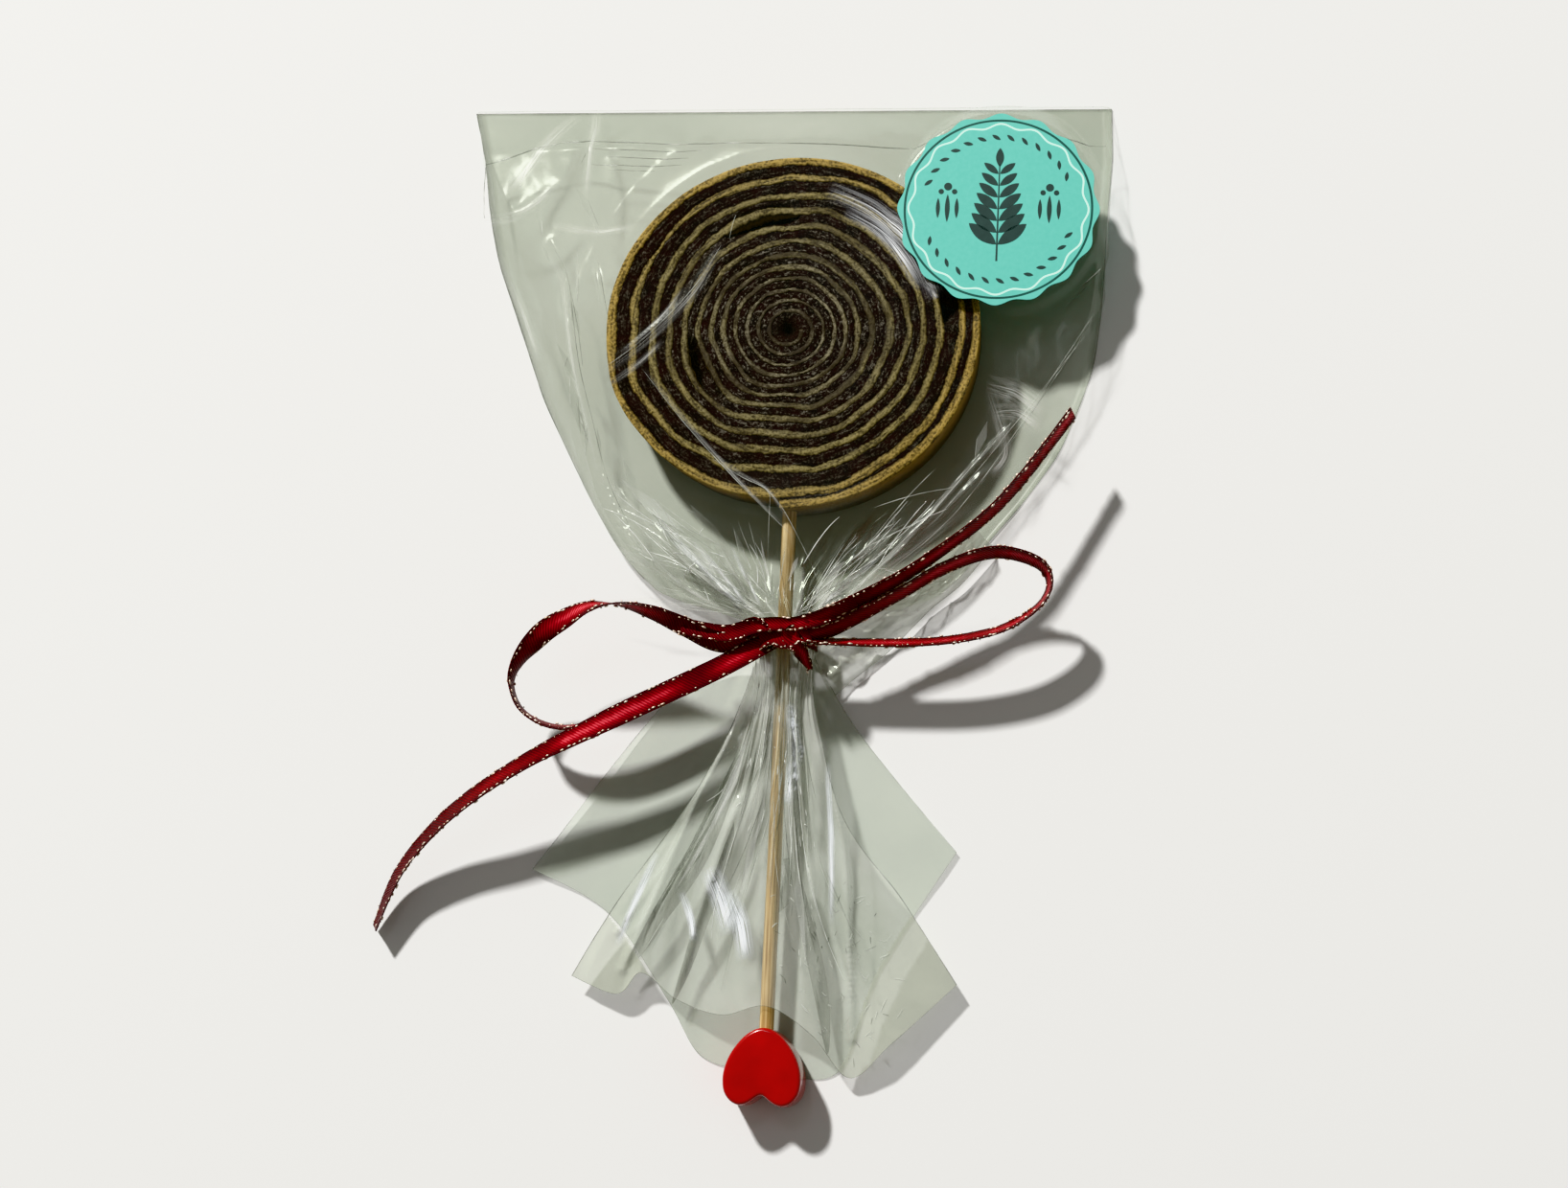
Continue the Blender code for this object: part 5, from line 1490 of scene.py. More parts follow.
def loose_panes(rng, count, height):
    """Long faint panes in the loose film beside the roll, which follow the bag's sides."""
    panes = []
    for _ in range(count):
        y = rng.uniform(14.0, 66.0)
        _, fold_left, fold_right, *_ = rib_values(y)
        left = rng.random() < 0.55
        reach = math.sqrt(max(LOOSE_FROM**2 - (y - ROLL_CENTRE[1]) ** 2, 0))
        near, far = (ROLL_CENTRE[0] - reach, fold_left) if left else (ROLL_CENTRE[0] + reach, fold_right)
        x = near + (far - near) * rng.uniform(0.1, 0.95)
        lean = math.radians(rng.gauss(104 if left else 62, 14))
        length, half = rng.uniform(3.0, 10.0), rng.uniform(0.2, 0.8)
        corners = ((-0.5, 0.0), (0.0, half), (0.5, 0.0), (0.1, -half))
        outline = np.array([turned_point((x, y), length * along, across, lean) for along, across in corners])
        away = distance(outline[:, 0], outline[:, 1], ROLL_CENTRE)
        from_label = distance(outline[:, 0], outline[:, 1], STICKER_CENTRE)
        too_near = away.min() < LOOSE_OFF_ROLL or from_label.min() < LOOSE_OFF_STICKER
        if too_near or outline[:, 1].max() > LOOSE_TO_Y:
            continue
        panes.append(np.column_stack([outline, height(outline[:, 0], outline[:, 1]) + CREASE_ABOVE]))
    return panes


def panes_piece(name, panes, rng):
    """The panes as one mesh, each with its own painted tone from dark to bright: painted shade or painted
    glint.
    """
    points = np.concatenate(panes)
    faces = [tuple(range(4 * i, 4 * i + 4)) for i in range(len(panes))]
    faces = [(a, b, c) for a, b, c, d in faces] + [(a, c, d) for a, b, c, d in faces]
    painted_light_tones = [rng.betavariate(1.3, 2.1) for _ in panes]
    return make_object(name, points, faces, attributes={"pane": np.repeat(painted_light_tones, 4)})


def pane_creases(panes, rng, share, halves):
    """Creases along a share of the panes' long edges."""
    paths = []
    for pane in panes:
        for a, b in ((0, 1), (1, 2), (0, 3)):
            if rng.random() < share:
                line = np.linspace(pane[a], pane[b], 6) + (0, 0, EDGE_ABOVE)
                paths.append((line, taper(len(line), rng.uniform(*halves))))
    return paths


def skirt_path(u, v, settings):
    """A path on the front skirt."""
    return skirt_point(u, v, 1, settings) + (0, 0, SKIRT_LINE_ABOVE)


def skirt_creases(settings, rng, count, halves):
    """Straight creases that run down the front skirt from the knot."""
    paths = []
    t = np.linspace(0, 1, 14)
    for _ in range(count):
        u = np.clip(rng.uniform(0.12, 0.88) + rng.gauss(0, 0.05) * t, 0.04, 0.96)
        v = rng.uniform(0.02, 0.5) ** 1.3 + rng.uniform(0.04, 0.34) * t
        path = skirt_path(u, np.clip(v, 0, 0.95), settings)
        paths.append((path, taper(len(t), rng.uniform(*halves))))
    return paths


def skirt_marks(settings, rng, count, halves, across, down):
    """Short dents and handling marks on a part of the front skirt, from u and v to u and v."""
    paths = []
    t = np.linspace(0, 1, 7)
    for _ in range(count):
        turn = rng.uniform(0, math.pi)
        length = rng.uniform(0.008, 0.035)
        u = rng.uniform(*across) + length * 0.7 * math.cos(turn) * t
        v = rng.uniform(*down) + length * math.sin(turn) * t + rng.uniform(-0.3, 0.3) * length * t * (1 - t)
        path = skirt_path(np.clip(u, 0.03, 0.97), np.clip(v, 0.03, 0.96), settings)
        paths.append((path, taper(len(t), rng.uniform(*halves))))
    return paths


def edge_paths(settings):
    """The film's cut edges and hems, as paths with half widths."""
    height = front_height(settings)
    paths = [(lay(line, height, 60), half) for line, half in FOLD_LINES]
    t = np.linspace(0, 1, 70)
    zero = np.zeros(len(t))
    lift = (0, 0, EDGE_ABOVE)
    for side, half in ((1, 0.06), (-1, 0.04)):
        paths.append((skirt_point(zero, t, side, settings) + lift, half))
        paths.append((skirt_point(zero + 1, t, side, settings) + lift, half))
        paths.append((skirt_point(t, zero + 1, side, settings) + lift, half * 0.7))
    ys = np.linspace(76.5, 2.0, 80)
    ribs = rib_values(ys)
    for x in (ribs[0], ribs[3]):
        paths.append((np.stack([x, ys, np.full(80, 0.2)], 1), 0.05))
    paths.append((flap_point(t, zero) + lift, 0.05))
    paths.append((flap_point(t, zero + 1) + lift, 0.04))
    across = np.linspace(BAG_RIBS[0][1], BAG_RIBS[0][4], 40)
    paths.append((np.stack([across, np.full(40, BAG_END_Y - 0.15), np.full(40, 0.3)], 1), 0.04))
    return paths


def ribbon_frames(route, step=0.7):
    """Points along a route with the directions across and out of the ribbon's face."""
    shares = np.linspace(0, 1, 800)
    dense = spline(route, shares)
    lengths = np.concatenate([[0], np.cumsum(np.linalg.norm(np.diff(dense[:, :3], axis=0), axis=1))])
    count = max(int(lengths[-1] / step), 8)
    at = np.interp(np.linspace(0, lengths[-1], count), lengths, shares)
    places = spline(route, at)
    middle = places[:, :3]
    forward = unit(np.gradient(middle, axis=0))
    level = unit(np.cross((0, 0, 1), forward))
    upright = np.cross(forward, level)
    roll = np.radians(places[:, 3])[:, None]
    across = level * np.cos(roll) + upright * np.sin(roll)
    normal = np.cross(forward, across)
    along = np.linspace(0, lengths[-1], count)
    return middle, across, normal, along


def ribbon_strip(route, width, thickness, cup, bunch):
    """One closed length of ribbon: points, faces, UVs (across, and millimetres along) and edge paths."""
    middle, across, normal, along = ribbon_frames(route)
    stations = np.linspace(-1, 1, 9)
    count = len(middle)
    narrow = np.ones(count) if bunch is None else np.interp(along, *bunch)
    ring = []
    for side in (1, -1):
        order = stations if side > 0 else stations[::-1]
        for w in order:
            curve = cup * (w * w - 0.4)
            ripple = 0.04 * value_noise(along / 2.5, np.full(count, w * 1.5), 8)
            offset = across * (w * width / 2 * narrow)[:, None]
            depth = side * thickness / 2 * (1 - 0.5 * abs(w) ** 6) + curve + ripple
            ring.append((middle + offset + normal * depth[:, None], np.full(count, (w + 1) / 2)))
    columns = len(ring)
    points = np.stack([p for p, _ in ring], 1).reshape(-1, 3)
    uvs = np.stack([np.stack([u for _, u in ring], 1).ravel(), np.repeat(along, columns)], 1)
    faces = grid_faces(count, columns, closed=True)
    faces.append(tuple(reversed(range(columns))))
    last = (count - 1) * columns
    faces.append(tuple(last + i for i in range(columns)))
    edges = []
    for w in (-0.86, 0.86):
        for face in (1, -1):
            out = cup * (w * w - 0.4) + face * thickness * 0.45
            edges.append(middle + across * (w * width / 2 * narrow)[:, None] + normal * out)
    return points, faces, uvs, edges


def colour_property(name, description, hex_code):
    return FloatVectorProperty(
        name=name, description=description, subtype="COLOR", default=linear_colour(hex_code), min=0, max=1
    )


def strength_property(name, description, default, high=1):
    return FloatProperty(name=name, description=description, default=default, min=0, max=high)


def size_property(name, description, default, low, high):
    return FloatProperty(
        name=name, description=description + ", in millimetres", default=default, min=low, max=high
    )


class RollSettings(bpy.types.PropertyGroup):
    wobble: size_property("Wobble", "How far the layers wander", 0.45, 0.0, 1.0)
    step: size_property("Step", "Distance between the mesh's points along the roll", 0.28, 0.1, 3.0)
    inner_yellow: colour_property("Inner layers", "Colour of the yellow layer near the eye", "#8A846E")
    middle_yellow: colour_property("Middle layers", "Colour of the yellow layer half way out", "#787155")
    outer_yellow: colour_property("Outer layers", "Colour of the yellow layer near the rim", "#8C8155")
    rim_yellow: colour_property("Rim", "Colour of the outermost turn", "#AA9150")
    side_brown: colour_property("Side", "Colour of the rim's side", "#8C6F36")
    dark: colour_property("Dark", "Colour of the dark layer", "#0C0604")
    maroon: colour_property("Maroon", "Tint of the dark layer", "#1C0C0B")
    # The grains' colour is partly their own and partly painted glint
    speck_and_glint: colour_property("Specks", "Colour of the pulp grains in the dark layer", "#7E7A70")


class StickSettings(bpy.types.PropertyGroup):
    radius: size_property("Radius", "Radius of the pick", 1.05, 0.5, 2.0)
    bamboo: colour_property("Bamboo", "Colour of the pick", "#B99C66")
    lacquer: colour_property("Lacquer", "Colour of the heart", "#B80002")


class FilmSettings(bpy.types.PropertyGroup):
    pleat_depth: size_property("Pleat depth", "Depth of the gathered folds", 0.85, 0.0, 3.0)
    panes: IntProperty(
        name="Panes", description="Flat panes of crumpled film at the knot", default=64, min=1, max=600
    )
    roll_veil: strength_property("Roll veil", "Opacity over the roll", 0.010)
    loose_veil: strength_property("Loose veil", "Opacity added off the roll", 0.03)
    skirt_veil: strength_property("Skirt veil", "Opacity of the skirt", 0.3)
    gather_veil: strength_property("Gather veil", "Opacity added at the knot", 0.2)
    film_light: colour_property("Film light", "Pale tone of the film", "#E2E8DF")
    film_shade: colour_property("Film shade", "Grey-green tone of the film", "#C8D0C2")
    skirt_light: colour_property("Skirt light", "Pale tone of the skirt's upper layer", "#F4F8F0")
    skirt_shade: colour_property("Skirt shade", "Grey-green tone of the skirt's upper layer", "#D2DACC")
    low_light: colour_property("Low light", "Pale tone of the skirt's lower layer", "#C6D0C0")
    low_shade: colour_property("Low shade", "Darker tone of the skirt's lower layer", "#B4BEAE")
    back_light: colour_property("Back light", "Pale tone of the film that lies on the table", "#B4BDA8")
    back_shade: colour_property("Back shade", "Darker tone of the film that lies on the table", "#9CA690")


class RibbonSettings(bpy.types.PropertyGroup):
    width: size_property("Width", "Width of the ribbon", 3.3, 1.0, 8.0)
    thickness: size_property("Thickness", "Thickness of the ribbon", 0.3, 0.1, 1.0)
    satin: colour_property("Satin", "Colour of the ribbon's face", "#76060B")
    # The satin's sheen colour is painted highlight; its shade colour is the colour between the threads and
    # also painted shade where the sheen is off
    satin_painted_sheen: colour_property("Satin light", "Colour where the satin catches the light", "#A2161E")
    satin_shade: colour_property("Satin shade", "Colour between the ribbon's threads", "#420307")
    selvedge: colour_property("Selvedge", "Colour of the ribbon's edges", "#3C070C")


class StickerSettings(bpy.types.PropertyGroup):
    ring_radius: size_property("Ring radius", "Radius of the dark ring", 13.95, 5.0, 14.5)
    wave_radius: size_property("Wave radius", "Mean radius of the pale wavy line", 13.1, 5.0, 14.0)
    wave_height: size_property("Wave height", "Half the height of the pale line's waves", 0.33, 0.0, 1.0)
    mint: colour_property("Mint", "Colour of the label", "#5FBFB2")
    mint_light: colour_property("Light mint", "Paler grain of the label", "#70C9BC")
    ring: colour_property("Ring", "Colour of the ring", "#0B4F45")
    wave: colour_property("Wave", "Colour of the wavy line", "#D6FAF0")
    ink: colour_property("Ink", "Colour of the printed sprig", "#12302B")


class StageSettings(bpy.types.PropertyGroup):
    floor: colour_property("Floor", "Colour of the floor", "#EEEFEF")
    key_power: strength_property("Key light", "Power of the main light in watts", 70.0, 200)
    fill: strength_property("Fill", "Strength of the light from all round", 0.23, 3)


class LOLLIPOP_OT_roll(bpy.types.Operator):
    """Makes the roll's yellow and dark layers"""

    bl_idname = "lollipop.roll"
    bl_label = "Roll of fruit leather"

    def execute(self, context):
        settings = context.scene.lollipop_roll
        step = settings.step
        turns = even_turns(FIRST_TURN + 0.1, LAST_TURN, step)
        middle = layer_radius(turns)
        half = yellow_half(turns)
        inner = middle - half + ragged(turns, 41)
        outer = middle + half + ragged(turns, 43)
        outer = np.where(turns > LAST_TURN - 1, middle + half, outer)
        yellow = layer_mesh("leather_yellow_roll", turns, inner, outer, settings, **YELLOW_LAYER)
        finish_piece(yellow, [yellow_leather_material(settings)], "yellow_leather", "leather_yellow")
        turns = even_turns(FIRST_TURN, LAST_TURN, step)
        outer = layer_radius(turns) - yellow_half(turns) + LAYER_OVERLAP
        inner = layer_radius(turns - 1) + yellow_half(turns - 1) - LAYER_OVERLAP
        inner = np.where(turns < 0.1, 0.04, inner)
        inner = np.maximum(np.minimum(inner, outer - 0.15), 0.03)
        dark = layer_mesh("leather_dark_roll", turns, inner, outer, settings, **DARK_LAYER)
        finish_piece(dark, [dark_leather_material(settings)], "dark_leather", "leather_dark")
        return {"FINISHED"}


class LOLLIPOP_OT_pick(bpy.types.Operator):
    """Makes the bamboo pick"""

    bl_idname = "lollipop.pick"
    bl_label = "Bamboo pick"

    def execute(self, context):
        settings = context.scene.lollipop_stick
        rows, columns = 90, 28
        y = np.linspace(STICK_TOP[0], STICK_END[0], rows)
        z = np.interp(y, (STICK_END[0], STICK_TOP[0]), (STICK_END[1], STICK_TOP[1]))
        angle = np.linspace(0, 2 * math.pi, columns, endpoint=False)
        angles, ys = np.meshgrid(angle, y)
        radius = settings.radius * (
            1 + 0.03 * value_noise(angles * 2, ys / 12, 71) + 0.02 * np.sign(np.cos(angles * 3))
        )
        x = STICK_X + radius * np.cos(angles) + 0.05 * value_noise(ys / 20, angles * 0, 72)
        points = np.stack([x, ys, z[:, None] + radius * np.sin(angles)], -1)
        faces = grid_faces(rows, columns, closed=True)
        faces += [tuple(range(columns)), tuple((rows - 1) * columns + i for i in reversed(range(columns)))]
        pick = make_object("bamboo_pick", points, faces)
        recalculate_normals(pick)
        finish_piece(pick, [bamboo_material(settings)], "bamboo", "stick", 50)
        return {"FINISHED"}


class LOLLIPOP_OT_heart(bpy.types.Operator):
    """Makes the lacquered heart on the pick's end"""

    bl_idname = "lollipop.heart"
    bl_label = "Heart bead"

    def execute(self, context):
        settings = context.scene.lollipop_stick
        half = spline(HEART_PROFILE, np.linspace(0, 1, 40)) * (HEART_WIDTH / 2, -HEART_LENGTH)
        half[0, 0] = half[-1, 0] = 0
        outline = np.concatenate([half, (half[1:-1] * (-1, 1))[::-1]])
        n = len(outline)
        low = [(x + HEART_X, y + HEART_TIP_Y, HEART_FOOT) for x, y in outline]
        high = [(x, y, HEART_FOOT + HEART_THICKNESS) for x, y, _ in low]
        faces = [(i, (i + 1) % n, n + (i + 1) % n, n + i) for i in range(n)]
        faces += [tuple(range(n)), tuple(range(2 * n - 1, n - 1, -1))]
        heart = make_object("heart_bead_lacquered", low + high, faces)
        recalculate_normals(heart)
        rounding = heart.modifiers.new("rounding", "BEVEL")
        rounding.width = HEART_ROUNDING * MM
        rounding.segments = 6
        rounding.limit_method = "ANGLE"
        rounding.angle_limit = math.radians(60)
        keep_result(heart)
        heart.data.shade_smooth()
        finish_piece(heart, [lacquer_material(settings)], "red_lacquer", "heart_bead", 40)
        return {"FINISHED"}


class LOLLIPOP_OT_pouch(bpy.types.Operator):
    """Makes the bag's shut part and its gathered neck"""

    bl_idname = "lollipop.pouch"
    bl_label = "Film pouch"

    def execute(self, context):
        settings = context.scene.lollipop_film
        rings, front, side, back = pouch_rings(settings)
        count, columns, _ = rings.shape
        faces = grid_faces(count, columns, closed=True)
        slots = [1 if front + side <= i % columns < front + side + back - 1 else 0 for i in range(len(faces))]
        faces.append(tuple(reversed(range(columns))))
        slots.append(0)
        off_roll = smooth_step((distance(rings[..., 0], rings[..., 1], ROLL_CENTRE) - 27.5) / 3)
        gather = 1 - smooth_step((rings[..., 1] + 6.0) / 26.0)
        calm = 1 - 0.8 * calm_share(rings[..., 0], rings[..., 1])
        veil = (settings.roll_veil + settings.loose_veil * off_roll) * calm + settings.gather_veil * gather
        pouch = make_object(
            "film_pouch", rings, faces, face_slots=slots, attributes={"veil": veil, "alone": 0.6 * gather}
        )
        clear = film_material(
            "clear cellophane", settings.film_light, settings.film_shade, deep="#8E9582", edge=0.42,
            metallic=0.75, roughness=0.22
        )
        backing = backing_material(
            "cellophane over its own shade", settings.back_light, settings.back_shade, share_low=0.48,
            share_high=0.58
        )
        finish_piece(pouch, [clear, backing], *FILM)
        return {"FINISHED"}


class LOLLIPOP_OT_skirt(bpy.types.Operator):
    """Makes the two layers of film that spread below the knot, and their doubled folds"""

    bl_idname = "lollipop.skirt"
    bl_label = "Film skirt"

    def execute(self, context):
        settings = context.scene.lollipop_film
        clear = film_material(
            "skirt cellophane", settings.skirt_light, settings.skirt_shade, deep="#C6CCBC", edge=0.45,
            metallic=0.15, roughness=0.14
        )
        front = add_sheet("film_skirt_front", 1, settings, 260, 220)
        finish_piece(front, [clear], *FILM)
        back = add_sheet("film_skirt_back", -1, settings, 160, 120)
        backing = backing_material(
            "lower skirt cellophane", settings.low_light, settings.low_shade, share_low=0.44, share_high=0.52
        )
        finish_piece(back, [backing], *FILM)
        height = SkirtHeights(settings)
        points, faces = [], []
        steps = 60
        for outline in SKIRT_FOLDS:
            eased = spline(outline + outline[:1], np.linspace(0, 1, steps + 1))[:-1]
            first = len(points)
            z = height(eased[:, 0], eased[:, 1]) - DOUBLED_BELOW
            points += np.stack([eased[:, 0], eased[:, 1], z], 1).tolist()
            points.append([*eased.mean(axis=0), z.mean()])
            faces += [(first + i, first + (i + 1) % steps, first + steps) for i in range(steps)]
        doubled = make_object("film_doubled_folds", points, faces)
        recalculate_normals(doubled)
        finish_piece(doubled, [fold_material()], *FILM)
        columns, rows = 120, 50
        u, v = np.meshgrid(np.linspace(0, 1, columns), np.linspace(0, 1, rows))
        flap = make_object(
            "film_side_flap", flap_point(u, v), grid_faces(rows, columns),
            attributes={"veil": 0.5 + 0 * u, "alone": 0.75 + 0 * u}
        )
        finish_piece(flap, [clear], *FILM)
        return {"FINISHED"}


class LOLLIPOP_OT_creases(bpy.types.Operator):
    """Makes the creases and hems that show on the film"""

    bl_idname = "lollipop.creases"
    bl_label = "Creases and hems"

    def execute(self, context):
        settings = context.scene.lollipop_film
        tree = strip_tree()
        rng = random.Random(CREASE_SEED)
        height = front_height(settings)
        # Soft bands: whitened creases with painted highlights among them; the gloss bands on the film and the
        # skirt are painted highlights
        bands = (
            ("film_soft_creases", SOFT_BANDS, height, ("whitened cellophane", "#DCE2D6", 0.42, 0.3)),
            ("film_painted_gloss", PAINTED_GLOSS_BANDS, height, ("tight shining cellophane", "#E6EEF6", 1.15, 0.25)),
            (
                "film_skirt_painted_gloss", SKIRT_PAINTED_GLOSS, SkirtHeights(settings),
                ("flat shining cellophane", "#DCE8F4", 1.3, 0.25, 0.34)
            )
        )
        for name, lines, over, look in bands:
            finish_piece(soft_bands(name, lines, over), [sheen_material(*look)], *FILM)
        panes = knot_panes(rng, settings.panes, height) + skirt_panes(settings, rng, settings.panes // 2)
        panes += loose_panes(rng, settings.panes // 2, height)
        finish_piece(panes_piece("film_facets", panes, rng), [pane_material()], *FILM)
        materials = (
            crease_material("pale folded cellophane", 300.0, ("#C9D0C4", "#F4F8F2"), (0.125, 0.5), 0.15),
            crease_material("painted glints on folded cellophane", 300.0, ("#F0F4F0", "#F4F8F2"), (0.25, 1.0), 0.1),
            crease_material("cellophane edge", 200.0, ("#565D50", "#9AA294"), (0.45, 0.12), 0.2)
        )
        hems = (), (), edge_paths(settings)
        for k, (name, flatness, own, by_pane, by_knot, by_skirt, marks) in enumerate(CREASES):
            lines = [(lay(line, height, 50), taper(50, own[1])) for line in own[0]]
            lines += hems[k]
            if by_pane:
                lines += pane_creases(panes, rng, *by_pane)
            if by_knot:
                lines += knot_creases(rng, *by_knot, height)
            lines += skirt_creases(settings, rng, *by_skirt)
            lines += skirt_marks(settings, rng, *marks)
            strips = grow(path_object(name, lines), tree, {"Flatness": flatness, "Material": materials[k]})
            finish_piece(strips, [materials[k]], *FILM)
        return {"FINISHED"}


def neck_band(settings):
    """The ribbon's turn round the neck: points, faces and UVs."""
    rows, stations = 72, np.linspace(-1, 1, 7)
    points, uvs = [], []
    angle = np.linspace(0, 2 * math.pi, rows, endpoint=False)
    middle_y = sum(BAND_Y) / 2
    half_y = abs(BAND_Y[1] - BAND_Y[0]) / 2
    for side in (1, -1):
        for w in stations[::side]:
            ripple = 0.1 * value_noise(angle * 3, angle * 0 + w, 5)
            out = BAND_OUT + side * settings.thickness / 2 * (1 - 0.5 * abs(w) ** 6) + ripple
            y = middle_y + w * half_y + 0.25 * np.sin(angle + 0.6)
            x = NECK_CENTRE[0] + (NECK_HALF[0] + out) * np.cos(angle)
            z = NECK_CENTRE[1] + (NECK_HALF[1] + out) * np.sin(angle)
            points.append(np.stack([x, y, z], 1))
            uvs.append(np.stack([np.full(rows, (w + 1) / 2), angle * NECK_HALF[0]], 1))
    columns = len(points)
    points = np.stack(points, 1).reshape(-1, 3)
    uvs = np.stack(uvs, 1).reshape(-1, 2)
    faces = []
    for r in range(rows):
        for c in range(columns):
            a, b = r * columns + c, r * columns + (c + 1) % columns
            e, f = ((r + 1) % rows) * columns + c, ((r + 1) % rows) * columns + (c + 1) % columns
            faces.append((a, b, f, e))
    return points, faces, uvs


class LOLLIPOP_OT_ribbon(bpy.types.Operator):
    """Makes the satin ribbon, its knot and the metallic thread along its edges"""

    bl_idname = "lollipop.ribbon"
    bl_label = "Satin ribbon"

    def execute(self, context):
        settings = context.scene.lollipop_ribbon
        points, faces, uvs, threads = [], [], [], []
        pieces = [
            ribbon_strip(route, settings.width * share, settings.thickness, cup, bunch)
            for route, share, cup, bunch in RIBBON_LENGTHS
        ]
        pieces.append((*neck_band(settings), []))
        for p, f, uv, edges in pieces:
            faces += [tuple(i + len(points) for i in face) for face in f]
            points += np.asarray(p).tolist()
            uvs += np.asarray(uv).tolist()
            threads += [(edge, THREAD_HALF) for edge in edges]
        ribbon = make_object("ribbon_satin", points, faces, uvs=uvs)
        recalculate_normals(ribbon)
        finish_piece(ribbon, [satin_material(settings)], "red_satin", "ribbon_bow", 60)
        lurex = lurex_material()
        dashes = grow(
            path_object("ribbon_lurex", threads), dash_tree(),
            {"Pitch": 0.75 * MM, "Length": 0.75 * MM, "Width": 0.31 * MM, "Seed": 4, "Material": lurex}
        )
        finish_piece(dashes, [lurex], "red_satin", "ribbon_bow")
        return {"FINISHED"}


class LOLLIPOP_OT_sticker(bpy.types.Operator):
    """Makes the scalloped label and its printed sprig"""

    bl_idname = "lollipop.sticker"
    bl_label = "Scalloped label"

    def execute(self, context):
        settings = context.scene.lollipop_sticker
        steps = STICKER_SCALLOPS * 12
        shares = np.array([0.0001, 0.2, 0.4, 0.6, 0.8, 0.92, 1.0])
        angle = np.linspace(0, 2 * math.pi, steps, endpoint=False)
        edge = STICKER_RADIUS + SCALLOP_DEPTH * np.cos(STICKER_SCALLOPS * angle)
        rows = []
        for share in shares:
            x = STICKER_CENTRE[0] + edge * share * np.cos(angle)
            y = STICKER_CENTRE[1] + edge * share * np.sin(angle)
            rows.append(np.stack([x, y, sticker_height(x, y)], 1))
        top = [row + (0, 0, LABEL_THICKNESS) for row in rows]
        points = np.array(rows[::-1] + top).reshape(-1, 3)
        count = 2 * len(rows)
        faces = grid_faces(count, steps, closed=True)
        label = make_object("label_paper", points, faces)
        recalculate_normals(label, merge=4e-6)
        finish_piece(label, [label_material(settings)], "mint_paper", "sticker", 50)
        finish_piece(make_object("label_sprig", *sprig()), [ink_material(settings)], "mint_paper", "sticker")
        return {"FINISHED"}


def sprig():
    """A printed sprig of leaves with berries, as thin shapes on the label."""
    points, faces = [], []

    def place(x, y):
        px, py = STICKER_CENTRE[0] + x, STICKER_CENTRE[1] + y
        return px, py, float(sticker_height(px, py)) + PRINT_ABOVE

    def shape(outline):
        first = len(points)
        points.extend(place(x, y) for x, y in outline)
        faces.append(tuple(range(first, first + len(outline))))

    def leaf(x, y, degrees, length, width):
        turn = math.radians(degrees)
        outline = [(length * t, width * math.sin(math.pi * t) ** 0.8) for t in np.linspace(0, 1, 13)]
        outline += [(length * t, -width * math.sin(math.pi * t) ** 0.8) for t in np.linspace(1, 0, 13)[1:-1]]
        shape([turned_point((x, y), a, b, turn) for a, b in outline])

    def dot(x, y, radius):
        angles = np.linspace(0, 2 * math.pi, 20, endpoint=False)
        shape([(x + radius * math.cos(a), y + radius * math.sin(a)) for a in angles])

    for k in range(7):
        y = -5.6 + 1.85 * k
        size = 1.15 - 0.09 * k
        leaf(0.12, y, 38, 4.6 * size, 0.85 * size)
        leaf(-0.12, y, 142, 4.6 * size, 0.85 * size)
    leaf(0, 6.6, 90, 3.0, 0.6)
    shape([(-0.14, -8.2), (0.14, -8.2), (0.08, 7.0), (-0.08, 7.0)])
    for k in range(13):
        for first in (24, 204):
            a = math.radians(first + 132 * k / 12)
            leaf(10.9 * math.cos(a), 10.9 * math.sin(a), math.degrees(a) + 60, 1.5, 0.28)
    for x in (-7.6, 7.6):
        leaf(x - 1.4, -1.6, 90, 3.2, 0.3)
        leaf(x, -2.2, 90, 4.4, 0.36)
        leaf(x + 1.4, -1.6, 90, 3.2, 0.3)
        dot(x, 3.4, 0.6)
        dot(x - 1.0, 2.6, 0.4)
        dot(x + 1.0, 2.6, 0.4)
    return points, faces


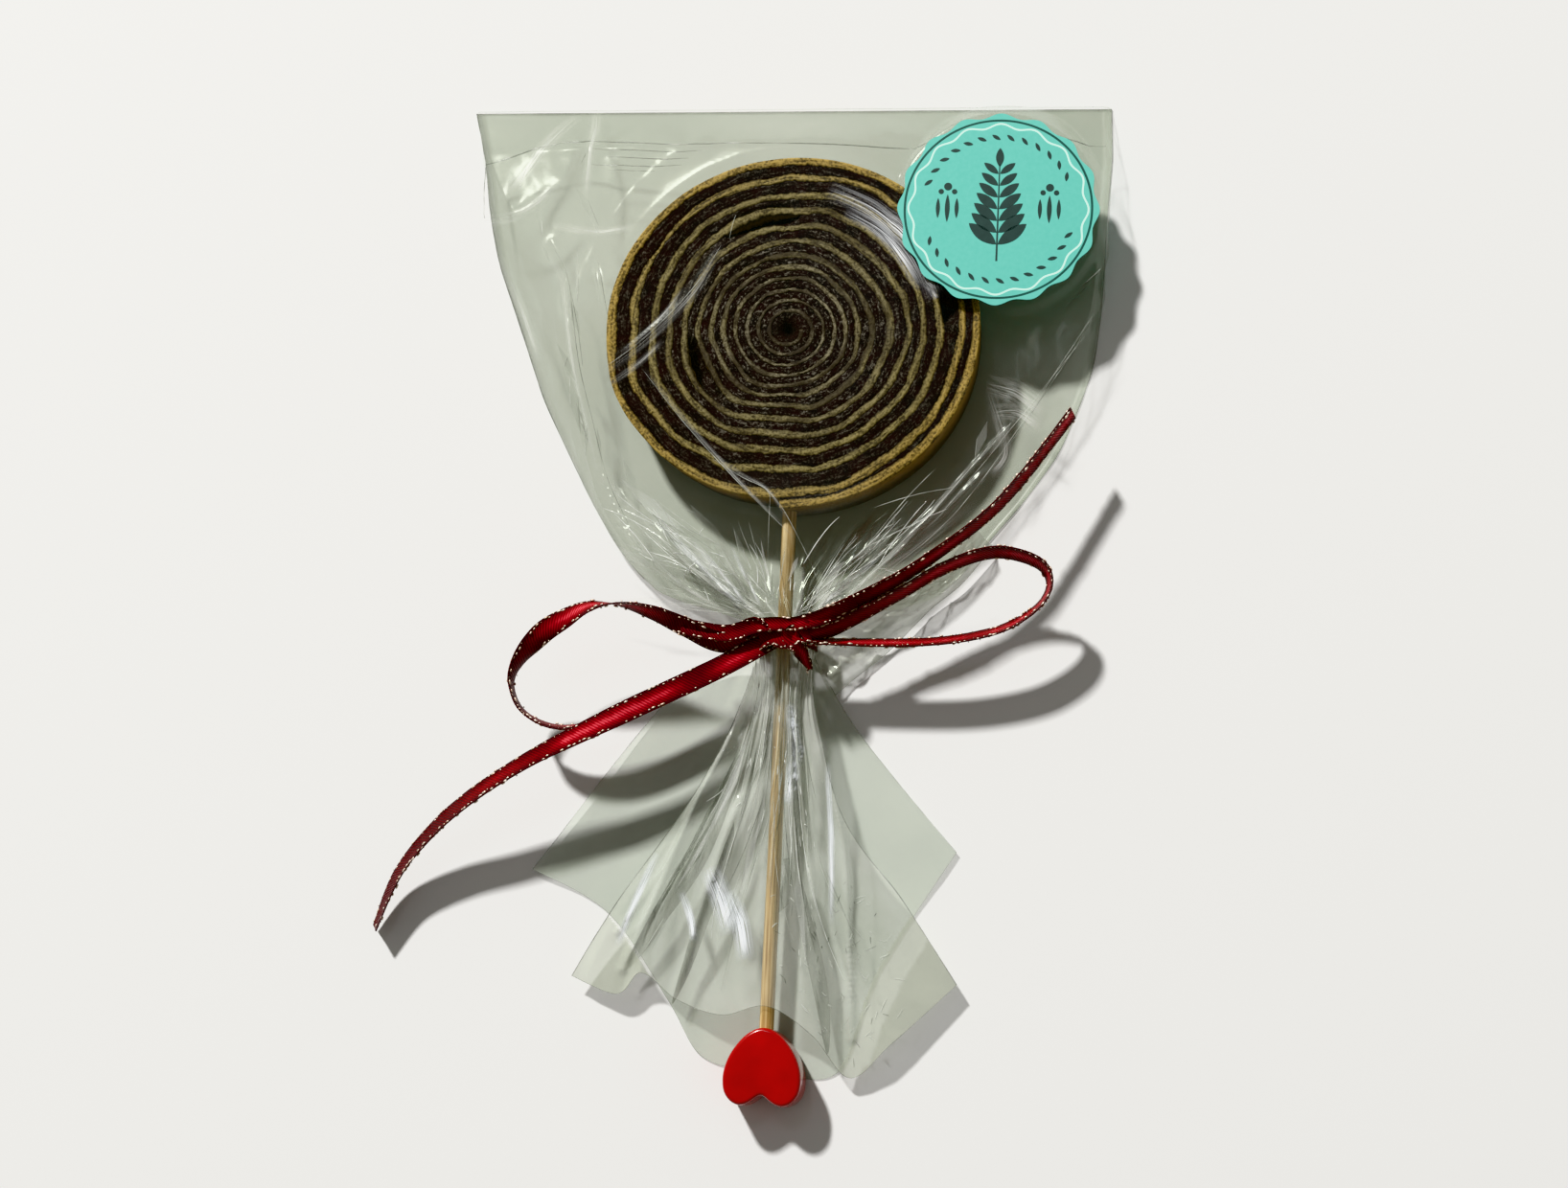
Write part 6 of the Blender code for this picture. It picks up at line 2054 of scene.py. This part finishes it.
class LOLLIPOP_OT_stage(bpy.types.Operator):
    """Makes the floor, the lights and the camera"""

    bl_idname = "lollipop.stage"
    bl_label = "Floor, lights and camera"

    def execute(self, context):
        settings = context.scene.lollipop_stage
        scene = context.scene
        scene.view_settings.view_transform = "Khronos PBR Neutral"
        shape = bmesh.new()
        bmesh.ops.create_grid(shape, x_segments=8, y_segments=8, size=FLOOR_SIZE)
        mesh = bpy.data.meshes.new("floor")
        shape.to_mesh(mesh)
        shape.free()
        mesh.materials.append(floor_material(settings))
        floor = new_object("floor", mesh)
        world = bpy.data.worlds.new("studio")
        world.use_nodes = True
        set_inputs(
            world.node_tree.nodes["Background"], {"Color": hex_rgba("#F8F4EA"), "Strength": settings.fill}
        )
        scene.world = world
        target = Vector(SHIFT) * MM
        for name, (direction, reach, size, colour) in LIGHTS.items():
            data = bpy.data.lights.new(name, "AREA")
            data.shape = "RECTANGLE"
            data.size, data.size_y = size
            data.energy = settings.key_power if name == "key" else STRIP_POWER
            data.color = linear_colour(colour)
            lamp = new_object(name, data)
            towards = Vector(direction).normalized()
            lamp.location = target + towards * reach
            lamp.rotation_euler = towards.to_track_quat("Z", "Y").to_euler()
        view = Vector(VIEW_DIRECTION).normalized()
        right = Vector(VIEW_RIGHT).normalized()
        up = view.cross(right).normalized()
        right = up.cross(view).normalized()
        camera_data = bpy.data.cameras.new("camera")
        camera_data.lens = VIEW_LENS
        camera_data.sensor_width = 36.0
        camera_data.clip_start = 0.01
        camera = new_object("camera", camera_data)
        turn = Matrix((right, up, view)).transposed()
        camera.matrix_world = Matrix.Translation(target + view * VIEW_DISTANCE * MM) @ turn.to_4x4()
        scene.camera = camera
        return {"FINISHED"}


STEPS = ("roll", "pick", "heart", "pouch", "skirt", "creases", "ribbon", "sticker", "stage")


class LOLLIPOP_PT_panel(bpy.types.Panel):
    """Lists the lollipop's pieces"""

    bl_idname = "LOLLIPOP_PT_panel"
    bl_label = "Fruit leather lollipop"
    bl_space_type = "VIEW_3D"
    bl_region_type = "UI"
    bl_category = "Lollipop"

    def draw(self, context):
        for step in STEPS:
            self.layout.operator("lollipop." + step)


SETTINGS = {
    "lollipop_roll": RollSettings, "lollipop_stick": StickSettings, "lollipop_film": FilmSettings,
    "lollipop_ribbon": RibbonSettings, "lollipop_sticker": StickerSettings, "lollipop_stage": StageSettings
}
OPERATORS = (
    LOLLIPOP_OT_roll, LOLLIPOP_OT_pick, LOLLIPOP_OT_heart, LOLLIPOP_OT_pouch, LOLLIPOP_OT_skirt,
    LOLLIPOP_OT_creases, LOLLIPOP_OT_ribbon, LOLLIPOP_OT_sticker, LOLLIPOP_OT_stage
)


def register():
    for group in SETTINGS.values():
        bpy.utils.register_class(group)
    for name, group in SETTINGS.items():
        setattr(bpy.types.Scene, name, PointerProperty(type=group))
    for operator in OPERATORS:
        bpy.utils.register_class(operator)
    bpy.utils.register_class(LOLLIPOP_PT_panel)


def unregister():
    bpy.utils.unregister_class(LOLLIPOP_PT_panel)
    for operator in reversed(OPERATORS):
        bpy.utils.unregister_class(operator)
    for name in SETTINGS:
        delattr(bpy.types.Scene, name)
    for group in reversed(list(SETTINGS.values())):
        bpy.utils.unregister_class(group)


def main():
    register()
    for step in STEPS:
        getattr(bpy.ops.lollipop, step)()


if __name__ == "__main__":
    main()
